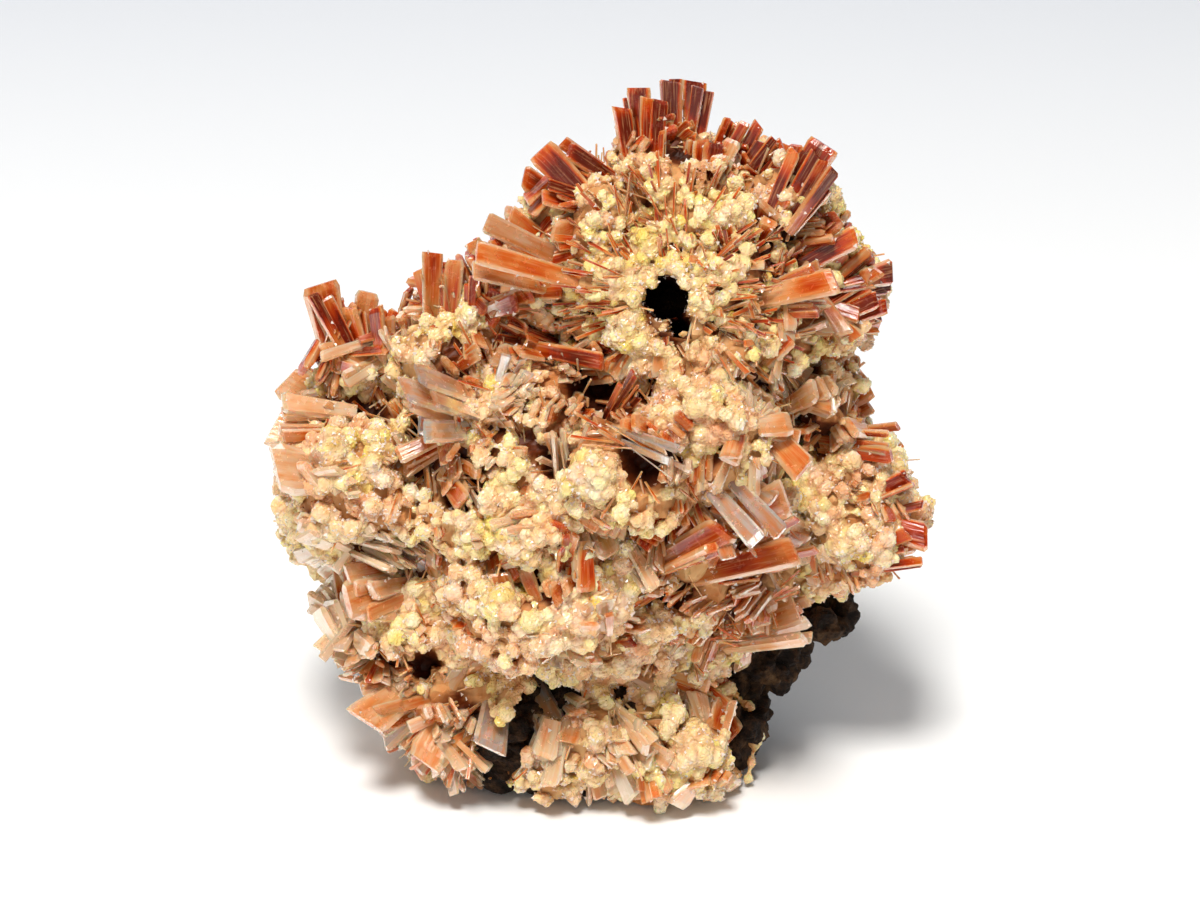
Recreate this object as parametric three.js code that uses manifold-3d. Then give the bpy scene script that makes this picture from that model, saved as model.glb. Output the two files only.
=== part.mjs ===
// A small specimen of hemimorphite: sprays of flat, chisel-ended crystals and rounded yellow clusters,
// grown as one crust round a dark, rough matrix. The matrix shows at the back, under the right side, low on
// the front and in a small pit. Millimetres, +Z up, the front towards -Y. The origin is the middle of the
// small flat spot that the specimen rests on.
import * as THREE from "three";
import { mergeVertices } from "three/addons/utils/BufferGeometryUtils.js";
import Module from "manifold-3d";

const wasm = await Module();
wasm.setup();

// The specimen as seen from the front, a little from above. Features are placed by what can be measured in
// that view: millimetres right of and above its middle, and how far back from the resting spot they lie.
const viewTilt = THREE.MathUtils.degToRad(25);
const eyeDistance = 267;
const middle = new THREE.Vector3(0, 2, 27.6);
const seenRight = new THREE.Vector3(1, 0, 0);
const seenUp = new THREE.Vector3(0, Math.sin(viewTilt), Math.cos(viewTilt));
const towardEye = new THREE.Vector3(0, -Math.cos(viewTilt), Math.sin(viewTilt));
const eye = middle.clone().addScaledVector(towardEye, eyeDistance);

const jointGap = 0.3; // left between the crust and the matrix, and under the crust's lowest crystals
const crustSeed = 11;
const crystal = { depth: 0.4, slant: 0.35, shoulder: 0.5 }; // by width
const buried = 2.6; // length of each crystal inside what it grows from
const spray = { spread: 0.34, footShare: 0.8, bladeShare: 1.1, turn: 0.35, outerShorter: 0.16, uneven: 0.1 };
const lump = { crust: 0.11, matrix: 0.08, cluster: 0.16, clusterSwell: 1.1, clusterSunk: 0.3 }; // by radius

// Rounded masses of the crust: right, up, back, then the half sizes across, deep and high.
const crustLobes = {
  heart: [-0.8, -4, 2, 18.4, 13, 17],
  upperDome: [7.6, 12.8, 3, 11, 10.5, 11],
  leftShoulder: [-18.4, -2.2, 3, 8, 9, 9],
  domeLeft: [-0.2, 18.6, 3.4, 4.8, 6, 4.4],
  domeCrest: [5.2, 22.2, 3.4, 4.4, 5.6, 4.4],
  domeRight: [13.6, 19.6, 3.4, 4.8, 6, 4.6],
  domeSide: [18.4, 12.6, 3.6, 4.4, 6, 4.4],
  leftPeak: [-20.2, 8, 4, 3.4, 4, 3.8],
  saddle: [-11, 8, 3, 5.4, 7, 5.6],
  saddleTop: [-6.6, 13, 3.6, 5, 6, 4.2],
  rightShoulder: [19, -4, 3, 6.4, 8, 6.8],
  rightUpper: [16.8, 4.8, 3, 4.2, 6, 4.6],
  leftFoot: [-9.4, -20.2, -1, 8.6, 8, 6.6],
  rightFoot: [4.6, -22.6, -3, 7.6, 7, 5.2],
  leftHip: [-15.4, -12.8, 1, 6.6, 8, 6.8],
  middleLump: [1.6, -1.6, -9, 5.2, 4, 5],
  lowerBand: [-4, -12.6, -8.6, 8, 4.4, 4],
  shelf: [9.4, 0.8, -7.4, 5.4, 4, 4.4],
  lowMiddle: [-2.6, -22.6, -5.2, 4.8, 4.6, 5.2],
};

// Rounded masses of the matrix, measured the same way.
const matrixLobes = {
  mainRock: [1.6, -4, 9, 14.5, 10.5, 18],
  foot: [-1.4, -21, 1, 11.6, 9.4, 7.4],
  rightLedge: [9.6, -21, 1.6, 4.4, 5.6, 4.4],
  rightNeck: [13, -15.8, 4, 4.2, 5, 3.6],
  rightKnob: [17.8, -12.8, 4.6, 3, 4, 2.6],
  pitRock: [5.6, 10.6, 5.4, 4.4, 5, 4.4],
};

// Sprays of crystals: right and up of the root, right and up of the tip, lean towards the eye in degrees,
// width of the whole spray, crystals in it, and how far the spray is rolled about its length, in degrees.
const sprays = [
  [3.7, 25.8, 3.6, 30, 5, 3, 2, 15], // top crest, left column
  [6.9, 25.8, 7.2, 30, 5, 3, 2, -10], // top crest, right column
  [-0.5, 21.3, -4.2, 23.2, 15, 4, 3, 30],
  [9.6, 23, 11.4, 26.4, 10, 2.9, 2, -30],
  [11.8, 22.2, 14.2, 25.4, 10, 3.1, 2, 20],
  [15.2, 20.1, 17.2, 23.8, 10, 4, 2, -20],
  [16.5, 15.7, 20, 18, 10, 3.6, 2, 10],
  [18.6, 13.1, 21.8, 15.8, 5, 3.1, 2, 40],
  [18.9, 10.5, 22.8, 12.2, 5, 3.1, 2, -30],
  [14.1, 12.1, 18.2, 13.2, 30, 2.8, 2, 60],
  [-4.3, 14.7, -9.2, 17.2, 20, 4.4, 3, 50],
  [-6.6, 8.8, -6.8, 13, 25, 3.6, 2, 15],
  [-3.2, 7.7, -8, 8.8, 40, 2.1, 2, 70],
  [-20.6, 9.1, -22.2, 13, 5, 3.4, 2, 20],
  [-18.4, 8.4, -19, 11.8, 10, 4.2, 2, -20],
  [-12.3, 11, -12.8, 15.2, 10, 3, 2, 10],
  [-11.2, 10.6, -11.8, 14.8, 15, 2.6, 2, -30],
  [-7.9, 13.2, -9.6, 17, 10, 3.1, 2, 30],
  [-10.8, 2.9, -14.8, 4.2, 55, 5.5, 2, 80],
  [-18.2, 7.7, -22, 5.8, 30, 3.6, 2, 30],
  [-22.2, 1.5, -26.4, 1.4, 10, 5.4, 2, 20],
  [-13.8, -8.6, -16.8, -5.6, 30, 3.1, 2, 20],
  [-15.5, -10.7, -19.6, -11.6, 45, 4.4, 2, 60],
  [-19.9, -11.5, -19, -15.6, 10, 3.4, 2, 60],
  [-15.1, -19.1, -19.2, -20, 15, 4.2, 2, 40],
  [-11, -22.2, -14.6, -24.4, 10, 3.9, 2, 30],
  [5.8, -8.8, 9.6, -6.4, 45, 3.6, 1, 75],
  [11, -9.1, 15.6, -7.8, 40, 3.1, 2, 70],
  [10.9, -6.7, 14.4, -4.4, 50, 4.2, 1, 80],
  [10.5, -3.9, 12.8, -7.6, 50, 4.9, 2, 75],
  [11.5, -13.9, 16.8, -12, 20, 5.5, 3, 50],
  [19.8, 0.6, 24, 0.2, 20, 3.4, 2, 60],
  [21.8, -4, 25.4, -2.4, 15, 3.6, 2, 60],
  [22.2, -8.8, 26, -7.8, 15, 2.9, 2, 20],
  [0.8, -21.7, 3.4, -25.4, 35, 3.4, 2, 30],
  [7.4, -19.4, 10.4, -22.4, 35, 3.4, 1, 60],
  [3.8, -24.8, 4.8, -28.2, 20, 2.1, 1, 20],
];

// Rounded clusters: right and up of the middle, and the radius.
const clusters = [
  [10.8, 19.2, 2.6],
  [8, 21.8, 2.7],
  [3.6, 16.8, 2],
  [8.4, 16.2, 2.4],
  [1.4, 12.6, 2],
  [13.6, 20, 2],
  [-3, 19.2, 1.6],
  [16, 18, 1.8],
  [2.8, 9.2, 2.9],
  [4.6, 8.6, 2.3],
  [6.2, 5.8, 2.2],
  [8.2, 4.4, 2.4],
  [11.6, 3.8, 2.9],
  [13.2, 8.4, 2.2],
  [8, 0.8, 2.7],
  [18, -2.4, 2.2],
  [21.6, -3.4, 2.4],
  [24, -1.6, 1.8],
  [20, -7.2, 3.3],
  [23, -8, 2.2],
  [17.4, -9, 1.9],
  [-10.4, 12, 1.5],
  [-8.8, 5.2, 2.2],
  [-8, 3, 1.9],
  [-9.6, 0.8, 2],
  [-1.6, 0.8, 2.2],
  [-0.8, -2.4, 3],
  [-8, -4, 2.2],
  [-6.4, -7.4, 2.6],
  [1.6, -8, 2.2],
  [3.2, -10.4, 2.2],
  [-23.4, -0.6, 2.6],
  [-18.4, -1.6, 2.2],
  [-23.6, -6.6, 2.4],
  [-13.6, -12.4, 2.7],
  [-11.2, -14.4, 2.2],
  [-17.6, -14.8, 2.2],
  [-7.6, -12, 2.9],
  [-2.4, -13.8, 3],
  [0.8, -12.4, 3],
  [4.2, -14, 2.6],
  [6.6, -15.4, 2.3],
  [2.4, -18.8, 2.2],
  [8.8, -18.4, 2.4],
  [0, -23.2, 2.3],
  [7.2, -24, 3.4],
  [-0.8, -25.6, 1.9],
];

// Where the matrix shows through the crust: right and up of both ends of the cut, its radius and its depth.
const windows = {
  pit: [5.4, 12.2, 5.6, 11.8, 1.9, 15],
  pitMouthBelow: [6.4, 9.8, 6.6, 10, 1.2, 14],
  lowTrough: [-3.4, -19.8, -9.2, -25.4, 1.4, 18],
};

// Crystals and clusters of the sides, the back's rim and the top that the front view doesn't show.
const flanks = { count: 60, faceAway: 0.25, lowest: -0.45, gap: 1.2 };
const flankCrystal = { length: 4.8, width: 2.6, clusterRadius: 2.6, stray: 0.4, lift: 0.2 };

// The same sequence of numbers from 0 to 1 on every run.
function sequence(seed) {
  let state = seed >>> 0;
  return () => {
    state = (state * 1664525 + 1013904223) >>> 0;
    return state / 4294967296;
  };
}
const random = sequence(crustSeed);
const jitter = (amount) => (random() * 2 - 1) * amount;

// The point of the middle plane that is seen so far right of and above the middle.
function onMiddlePlane(right, up) {
  return middle.clone().addScaledVector(seenRight, right).addScaledVector(seenUp, up);
}

// The point seen there that lies so far back from the resting spot.
function seenAt(right, up, back) {
  const sight = onMiddlePlane(right, up).sub(eye);
  return eye.clone().addScaledVector(sight, (back - eye.y) / sight.y);
}

function solidFrom(geometry) {
  geometry.deleteAttribute("normal");
  geometry.deleteAttribute("uv");
  const merged = mergeVertices(geometry, 1e-4);
  return new wasm.Manifold(
    new wasm.Mesh({
      numProp: 3,
      vertProperties: merged.getAttribute("position").array,
      triVerts: new Uint32Array(merged.index.array),
    }),
  );
}

function geometryFrom(solid) {
  const mesh = solid.getMesh();
  return new THREE.BufferGeometry()
    .setAttribute("position", new THREE.BufferAttribute(mesh.vertProperties, 3))
    .setIndex(new THREE.BufferAttribute(mesh.triVerts, 1))
    .toNonIndexed();
}

// Slow waves over a ball of radius 1: radians along x, y and z, and how much the seed shifts them.
const waves = [
  [3.1, 1.7, 0, 1],
  [0, 3.7, -2.3, 1.9],
  [2.9, 0, 4.3, 2.7],
];

// A smooth unevenness between about -1 and 1.
function unevenness(p, seed) {
  const sum = waves.reduce((total, [x, y, z, shift]) => {
    return total + Math.sin(p.x * x + p.y * y + p.z * z + seed * shift);
  }, 0);
  return sum / waves.length;
}

// A rounded mass with flat faces, from a ball of radius 1, a point of the specimen and its half sizes.
function roundMass(geometry, centre, halfSizes, roughness, seed) {
  const position = geometry.getAttribute("position");
  const p = new THREE.Vector3();
  for (let i = 0; i < position.count; i++) {
    p.fromBufferAttribute(position, i);
    p.multiplyScalar(1 + roughness * unevenness(p, seed));
    p.multiply(halfSizes).add(centre);
    position.setXYZ(i, p.x, p.y, p.z);
  }
  return solidFrom(geometry);
}

function lobeSolid([right, up, back, across, deep, high], detail, roughness, seed, grow = 0) {
  const halfSizes = new THREE.Vector3(across + grow, deep + grow, high + grow);
  const ball = new THREE.IcosahedronGeometry(1, detail);
  return roundMass(ball, seenAt(right, up, back), halfSizes, roughness, seed);
}

// One flat crystal with a slanted chisel end, from its buried root to its tip.
function bladeSolid(root, along, side, length, width) {
  const half = width / 2;
  const slant = jitter(crystal.slant) * width;
  const shoulder = length - width * crystal.shoulder;
  const outline = new THREE.Shape([
    new THREE.Vector2(-half, 0),
    new THREE.Vector2(half, 0),
    new THREE.Vector2(half, shoulder + slant / 2),
    new THREE.Vector2(slant, length),
    new THREE.Vector2(-half, shoulder - slant / 2),
  ]);
  const thickness = width * crystal.depth;
  const geometry = new THREE.ExtrudeGeometry(outline, { depth: thickness, bevelEnabled: false });
  const flat = new THREE.Vector3().crossVectors(side, along);
  const stand = new THREE.Matrix4().makeBasis(side, along, flat);
  stand.setPosition(root.clone().addScaledVector(flat, -thickness / 2));
  return solidFrom(geometry.applyMatrix4(stand));
}

// Crystals side by side, spreading a little from one root and ending at different heights.
function spraySolids(root, along, side, length, width, count) {
  const bladeWidth = (width / count) * spray.bladeShare;
  return Array.from({ length: count }, (_, i) => {
    const place = count > 1 ? i / (count - 1) - 0.5 : 0;
    const direction = along.clone().addScaledVector(side, place * spray.spread).normalize();
    const turn = new THREE.Quaternion().setFromAxisAngle(direction, jitter(spray.turn));
    const bladeSide = side.clone().addScaledVector(direction, -side.dot(direction)).normalize();
    const start = root.clone().addScaledVector(side, place * width * spray.footShare);
    const reach = length * (1 - Math.abs(place) * spray.outerShorter - random() * spray.uneven);
    return bladeSolid(start, direction, bladeSide.applyQuaternion(turn), reach, bladeWidth);
  });
}

// The first point of a surface met from a point along a direction.
function firstHit(surface, from, direction) {
  return new THREE.Raycaster(from, direction.clone().normalize()).intersectObject(surface)[0];
}

// The surface as it is seen at a place, or at the nearest place inward of it where there is any.
function frontHit(surface, right, up) {
  for (let inward = 1; inward > 0.5; inward -= 0.03) {
    const hit = firstHit(surface, eye, onMiddlePlane(right * inward, up * inward).sub(eye));
    if (hit) return hit.point;
  }
  throw new Error(`nothing of the body is seen near ${right}, ${up}`);
}

function surfaceOf(solid) {
  const surface = new THREE.Mesh(geometryFrom(solid), new THREE.MeshBasicMaterial());
  surface.updateMatrixWorld(true);
  return surface;
}

function frontSpray(body, [right, up, tipRight, tipUp, lean, width, count, roll]) {
  const root = frontHit(body, right, up);
  const run = new THREE.Vector2(tipRight - right, tipUp - up);
  const leanAngle = THREE.MathUtils.degToRad(lean);
  const along = new THREE.Vector3()
    .addScaledVector(seenRight, run.x)
    .addScaledVector(seenUp, run.y)
    .addScaledVector(towardEye, run.length() * Math.tan(leanAngle));
  const length = along.length() + buried;
  along.normalize();
  const side = new THREE.Vector3().crossVectors(along, towardEye).normalize();
  side.applyAxisAngle(along, THREE.MathUtils.degToRad(roll) * 0.5);
  root.addScaledVector(along, -buried).addScaledVector(towardEye, -buried * 0.2);
  return spraySolids(root, along, side, length, width, count);
}

// A knobbly cluster, sunk a little into what it grows from.
function clusterSolid(point, outward, radius, seed) {
  const centre = point.clone().addScaledVector(outward, -radius * lump.clusterSunk);
  const ball = new THREE.IcosahedronGeometry(lump.clusterSwell, 0);
  return roundMass(ball, centre, new THREE.Vector3(radius, radius, radius), lump.cluster, seed);
}

function frontCluster(body, [right, up, radius], seed) {
  return clusterSolid(frontHit(body, right, up), towardEye, radius, seed);
}

// Directions spread evenly over a ball, by the golden angle.
function evenDirections(count) {
  const goldenAngle = Math.PI * (3 - Math.sqrt(5));
  return Array.from({ length: count }, (_, i) => {
    const z = 1 - (2 * i + 1) / count;
    const ring = Math.sqrt(1 - z * z);
    return new THREE.Vector3(Math.cos(goldenAngle * i) * ring, Math.sin(goldenAngle * i) * ring, z);
  });
}

function flankSolids(body, matrixSurface) {
  const found = [];
  evenDirections(flanks.count).forEach((outward, i) => {
    if (outward.dot(towardEye) > flanks.faceAway || outward.z < flanks.lowest) return;
    const from = middle.clone().addScaledVector(outward, eyeDistance);
    const inward = outward.clone().negate();
    const hit = firstHit(body, from, inward);
    const rock = firstHit(matrixSurface, from, inward);
    if (!hit || (rock && rock.distance < hit.distance + flanks.gap)) return;
    if (i % 3 === 0) {
      found.push(clusterSolid(hit.point, outward, flankCrystal.clusterRadius * (1 + jitter(0.2)), i));
      return;
    }
    const stray = [0, 0, flankCrystal.lift].map((lift) => lift + jitter(flankCrystal.stray));
    const along = outward.clone().add(new THREE.Vector3(...stray)).normalize();
    const side = new THREE.Vector3().crossVectors(along, new THREE.Vector3(0.3, 0.2, 1)).normalize();
    side.applyAxisAngle(along, jitter(1.2));
    const length = flankCrystal.length * (1 + jitter(0.15));
    const root = hit.point.addScaledVector(along, -buried);
    found.push(...spraySolids(root, along, side, length, flankCrystal.width, 1));
  });
  return found;
}

// A straight cut into the crust from the front, as deep as needed to reach the matrix.
function windowSolid(body, [right, up, farRight, farUp, radius, depth]) {
  const start = frontHit(body, right, up);
  const end = frontHit(body, farRight, farUp);
  const flat = new THREE.Vector3().crossVectors(towardEye, seenRight);
  const run = end.clone().sub(start);
  const length = Math.hypot(run.dot(seenRight), run.dot(seenUp));
  const angle = Math.atan2(run.dot(seenUp), run.dot(seenRight));
  const outline = new THREE.Shape();
  outline.absarc(0, 0, radius, Math.PI / 2, -Math.PI / 2, false);
  outline.absarc(length, 0, radius, -Math.PI / 2, Math.PI / 2, false);
  const geometry = new THREE.ExtrudeGeometry(outline, { depth, bevelEnabled: false, curveSegments: 4 });
  const stand = new THREE.Matrix4().makeBasis(seenRight, flat, towardEye);
  stand.multiply(new THREE.Matrix4().makeRotationZ(angle));
  stand.setPosition(start.clone().addScaledVector(towardEye, 4 - depth));
  return solidFrom(geometry.applyMatrix4(stand));
}

// Everything under a level, as one block.
function under(level) {
  const side = 200;
  return solidFrom(new THREE.BoxGeometry(side, side, side).translate(0, 0, level - side / 2));
}

// The largest body of a solid: what a cut leaves loose is dropped.
function largestBody(solid) {
  return solid.decompose().reduce((kept, piece) => (piece.volume() > kept.volume() ? piece : kept));
}

function matrixSolid(grow) {
  return wasm.Manifold.union(
    Object.values(matrixLobes).map((lobe, i) => lobeSolid(lobe, 1, lump.matrix, i * 2.1 + 4, grow)),
  );
}

function makeMatrix() {
  return largestBody(matrixSolid(0).subtract(under(0)));
}

function makeCrust(matrix) {
  const bodySolid = wasm.Manifold.union(
    Object.values(crustLobes).map((lobe, i) => lobeSolid(lobe, i === 0 ? 2 : 1, lump.crust, i * 1.3)),
  );
  const body = surfaceOf(bodySolid);
  const grown = [
    ...sprays.flatMap((spray) => frontSpray(body, spray)),
    ...clusters.map((cluster, i) => frontCluster(body, cluster, i * 1.7)),
    ...flankSolids(body, surfaceOf(matrix)),
  ];
  const cuts = Object.values(windows).map((window) => windowSolid(body, window));
  return largestBody(
    wasm.Manifold.union([bodySolid.subtract(wasm.Manifold.union(cuts)), ...grown])
      .subtract(matrixSolid(jointGap))
      .subtract(under(jointGap)),
  );
}

function piece(name, solid, material) {
  const mesh = new THREE.Mesh(geometryFrom(solid), material);
  mesh.name = name;
  return mesh;
}

const matrix = makeMatrix();
const crust = makeCrust(matrix);

const specimen = new THREE.Group();
specimen.name = "hemimorphite_specimen";
specimen.add(
  piece("matrix", matrix, new THREE.MeshStandardMaterial({ color: 0x3a2a20, roughness: 0.85, metalness: 0 })),
  piece(
    "crystal_crust",
    crust,
    new THREE.MeshStandardMaterial({ color: 0xd6ad88, roughness: 0.4, metalness: 0 }),
  ),
);

export default specimen;
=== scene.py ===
import math
import bpy
import bmesh
import numpy as np
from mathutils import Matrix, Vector
from mathutils.bvhtree import BVHTree
from mathutils.kdtree import KDTree


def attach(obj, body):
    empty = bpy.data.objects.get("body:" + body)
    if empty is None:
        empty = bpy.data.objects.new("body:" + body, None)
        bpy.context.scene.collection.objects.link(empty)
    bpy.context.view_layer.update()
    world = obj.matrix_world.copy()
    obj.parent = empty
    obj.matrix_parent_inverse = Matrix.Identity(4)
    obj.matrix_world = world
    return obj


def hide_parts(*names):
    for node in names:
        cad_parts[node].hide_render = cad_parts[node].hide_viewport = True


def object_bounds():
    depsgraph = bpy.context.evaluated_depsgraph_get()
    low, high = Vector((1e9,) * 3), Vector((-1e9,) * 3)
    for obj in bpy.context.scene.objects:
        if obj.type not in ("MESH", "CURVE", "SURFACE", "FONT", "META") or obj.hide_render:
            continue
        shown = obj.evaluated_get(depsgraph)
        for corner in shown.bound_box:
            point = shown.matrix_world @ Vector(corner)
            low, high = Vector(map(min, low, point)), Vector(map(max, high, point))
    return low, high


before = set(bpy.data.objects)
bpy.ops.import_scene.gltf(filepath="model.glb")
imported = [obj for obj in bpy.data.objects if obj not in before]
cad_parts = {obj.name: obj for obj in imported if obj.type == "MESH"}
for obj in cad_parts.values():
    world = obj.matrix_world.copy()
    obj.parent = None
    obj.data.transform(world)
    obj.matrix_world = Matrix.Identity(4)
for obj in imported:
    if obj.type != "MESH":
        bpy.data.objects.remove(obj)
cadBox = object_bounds()
mm = 0.001

# The view that features are measured in: millimetres right of and above the middle of the specimen.
viewTilt = math.radians(25)
eyeDistance = 267.0
middle = np.array([0.0, 2.0, 27.6])
seenRight = np.array([1.0, 0.0, 0.0])
seenUp = np.array([0.0, math.sin(viewTilt), math.cos(viewTilt)])
towardEye = np.array([0.0, -math.cos(viewTilt), math.sin(viewTilt)])
eye = middle + towardEye * eyeDistance
rng = np.random.default_rng(20)


def srgb(text):
    parts = [int(text[i:i + 2], 16) / 255 for i in (1, 3, 5)]
    return tuple(c / 12.92 if c <= 0.04045 else ((c + 0.055) / 1.055) ** 2.4 for c in parts) + (1.0,)


def unit(v):
    return v / np.maximum(np.linalg.norm(v, axis=-1, keepdims=True), 1e-9)


def seenAt(right, up, back):
    sight = middle + seenRight * right + seenUp * up - eye
    return eye + sight * ((back - eye[1]) / sight[1])


def asSeen(points):
    d = points - eye
    depth = -(d @ towardEye)
    return (d @ seenRight) * eyeDistance / depth, (d @ seenUp) * eyeDistance / depth


# Slow waves over a ball of radius 1: radians along x, y and z, and how much the seed shifts them.
waves = np.array([[3.1, 1.7, 0, 1], [0, 3.7, -2.3, 1.9], [2.9, 0, 4.3, 2.7]])


def unevenness(p, seed):
    return np.sin(p @ waves[:, :3].T + seed * waves[:, 3]).mean(axis=1)


def icoBall(level):
    b = bmesh.new()
    bmesh.ops.create_icosphere(b, subdivisions=level, radius=1)
    points = np.array([v.co[:] for v in b.verts])
    faces = np.array([[v.index for v in f.verts] for f in b.faces])
    b.free()
    return points, faces


def meshFrom(name, points, faces, marks, material, smooth=True):
    mesh = bpy.data.meshes.new(name)
    mesh.vertices.add(len(points))
    mesh.vertices.foreach_set("co", (points * mm).astype(np.float32).ravel())
    mesh.loops.add(faces.size)
    mesh.loops.foreach_set("vertex_index", faces.astype(np.int32).ravel())
    mesh.polygons.add(len(faces))
    mesh.polygons.foreach_set("loop_start", np.arange(len(faces), dtype=np.int32) * faces.shape[1])
    mesh.polygons.foreach_set("use_smooth", np.full(len(faces), smooth))
    mesh.update(calc_edges=True)
    for key, values in marks.items():
        layer = mesh.attributes.new(key, "FLOAT_VECTOR", "POINT")
        layer.data.foreach_set("vector", values.astype(np.float32).ravel())
    piece = bpy.data.objects.new(name, mesh)
    bpy.context.scene.collection.objects.link(piece)
    if material:
        mesh.materials.append(material)
    return piece


def gather(sets):
    points, faces, start = [], [], 0
    for p, f in sets:
        points.append(p)
        faces.append(f + start)
        start += len(p)
    return np.concatenate(points), np.concatenate(faces)


# The points of a mesh in mm.
def pointsOf(mesh):
    out = np.empty(len(mesh.vertices) * 3, np.float32)
    mesh.vertices.foreach_get("co", out)
    return out.reshape(-1, 3).astype(float) / mm


# The faces of a mesh of squares.
def squaresOf(mesh):
    out = np.empty(len(mesh.loops), np.int32)
    mesh.loops.foreach_get("vertex_index", out)
    return out.reshape(-1, 4)


# One closed skin round overlapping solids, as points and square faces.
def oneSkin(points, faces, voxel):
    draft = meshFrom("draft", points, faces, {}, None)
    skin = draft.modifiers.new("skin", "REMESH")
    skin.mode = "VOXEL"
    skin.voxel_size = voxel * mm
    shaped = draft.evaluated_get(bpy.context.evaluated_depsgraph_get())
    mesh = shaped.to_mesh()
    points, faces = pointsOf(mesh), squaresOf(mesh)
    shaped.to_mesh_clear()
    bpy.data.objects.remove(draft)
    return points, faces


# The faces with a shown corner, and only the points that they use, with the numbers of those points.
def withoutHidden(points, faces, shown):
    faces = faces[shown[faces].any(axis=1)]
    used, renamed = np.unique(faces, return_inverse=True)
    return points[used], renamed.reshape(-1, 4), used


# A number for every point that is the same over each connected part.
def partOf(count, faces):
    part = np.arange(count)
    while True:
        lower = part.copy()
        np.minimum.at(lower, faces.ravel(), np.repeat(part[faces].min(axis=1), faces.shape[1]))
        lower = lower[lower]
        if (lower == part).all():
            return part
        part = lower


def vertexNormals(points, faces):
    a, b, c = points[faces[:, 0]], points[faces[:, 1]], points[faces[:, 2]]
    normal = np.cross(b - a, c - a)
    total = np.zeros_like(points)
    for i in range(faces.shape[1]):
        np.add.at(total, faces[:, i], normal)
    return unit(total)


# Smooth noise from -1 to 1, cells of a given size in millimetres.
def softNoise(points, size, seed):
    q = points / size + seed * 17.31
    base = np.floor(q).astype(np.int64)
    f = q - base
    f = f * f * (3 - 2 * f)
    total = np.zeros(len(points))
    for corner in range(8):
        step = np.array([corner & 1, corner >> 1 & 1, corner >> 2 & 1])
        cell = base + step
        mixed = cell[:, 0] * 374761393 + cell[:, 1] * 668265263 + cell[:, 2] * 2147483647 + seed * 1274126177
        mixed = (mixed ^ (mixed >> 13)) * 1274126177 & 0xFFFFFFFF
        mixed = (mixed ^ (mixed >> 16)) & 0xFFFF
        weight = np.prod(np.where(step, f, 1 - f), axis=1)
        total += weight * (mixed / 32767.5 - 1)
    return total


# A new material, and the function that adds a node to it: what goes into its sockets, and its settings.
def newMaterial(name):
    material = bpy.data.materials.new(name)
    material.use_nodes = True
    tree = material.node_tree
    tree.nodes.clear()

    def add(kind, inputs=None, **settings):
        node = tree.nodes.new("ShaderNode" + kind)
        node.location = (len(tree.nodes) * 200, len(tree.nodes) % 4 * -260)
        for key, value in settings.items():
            setattr(node, key, value)
        for socket, value in (inputs or {}).items():
            if isinstance(value, bpy.types.Node):
                value = value.outputs[0]
            if isinstance(value, bpy.types.NodeSocket):
                tree.links.new(value, node.inputs[socket])
            else:
                node.inputs[socket].default_value = value
        return node

    return material, add


def setRamp(node, stops):
    ramp = node.color_ramp
    while len(ramp.elements) < len(stops):
        ramp.elements.new(0.5)
    for element, (place, colour) in zip(ramp.elements, stops):
        element.position = place
        element.color = srgb(colour)


# Hemimorphite blades, grown glassy and lightly frosted. Iron stain runs from pale peach at the rims to deep red in
# the heart, and stripes and paler fibres along the crystal break up the shine. Scales are across and along.
bladeLook = {
    "colours": [(0.18, "#EEB480"), (0.34, "#E0904E"), (0.5, "#D2661E"), (0.68, "#BC3E06"), (0.84, "#942604"),
                (1.0, "#6A1C07")],
    "stripes": (3.2, 3.2, 0.22), "stripeStain": (0.6, -0.3),
    "clouds": (0.9, 0.9, 0.4), "cloudStain": (0.8, -0.42), "frayed": 0.8, "heartEdge": (1.36, 0.98),
    "band": (0.5, 0.15), "bandLeast": 0.35, "rim": 0.2, "heart": 1.15, "tones": (0.82, 1.12),
    "fibre": "#F0B07A", "fibres": (8, 8, 0.4), "fibreAt": (0.52, 0.72), "fibreShare": 0.4,
    "frostScale": 1.6, "frostAt": (0.42, 0.62), "roughness": (0.08, 0.3), "opaqueFrom": 0.9, "clearLeft": 0.25,
    "soakColour": "#F3D3BF", "bump": {"Strength": 0.55, "Distance": 0.09 * mm},
    "surface": {"IOR": 1.62, "Subsurface Radius": (1, 0.4, 0.2), "Subsurface Scale": 0.6 * mm},
}


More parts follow.
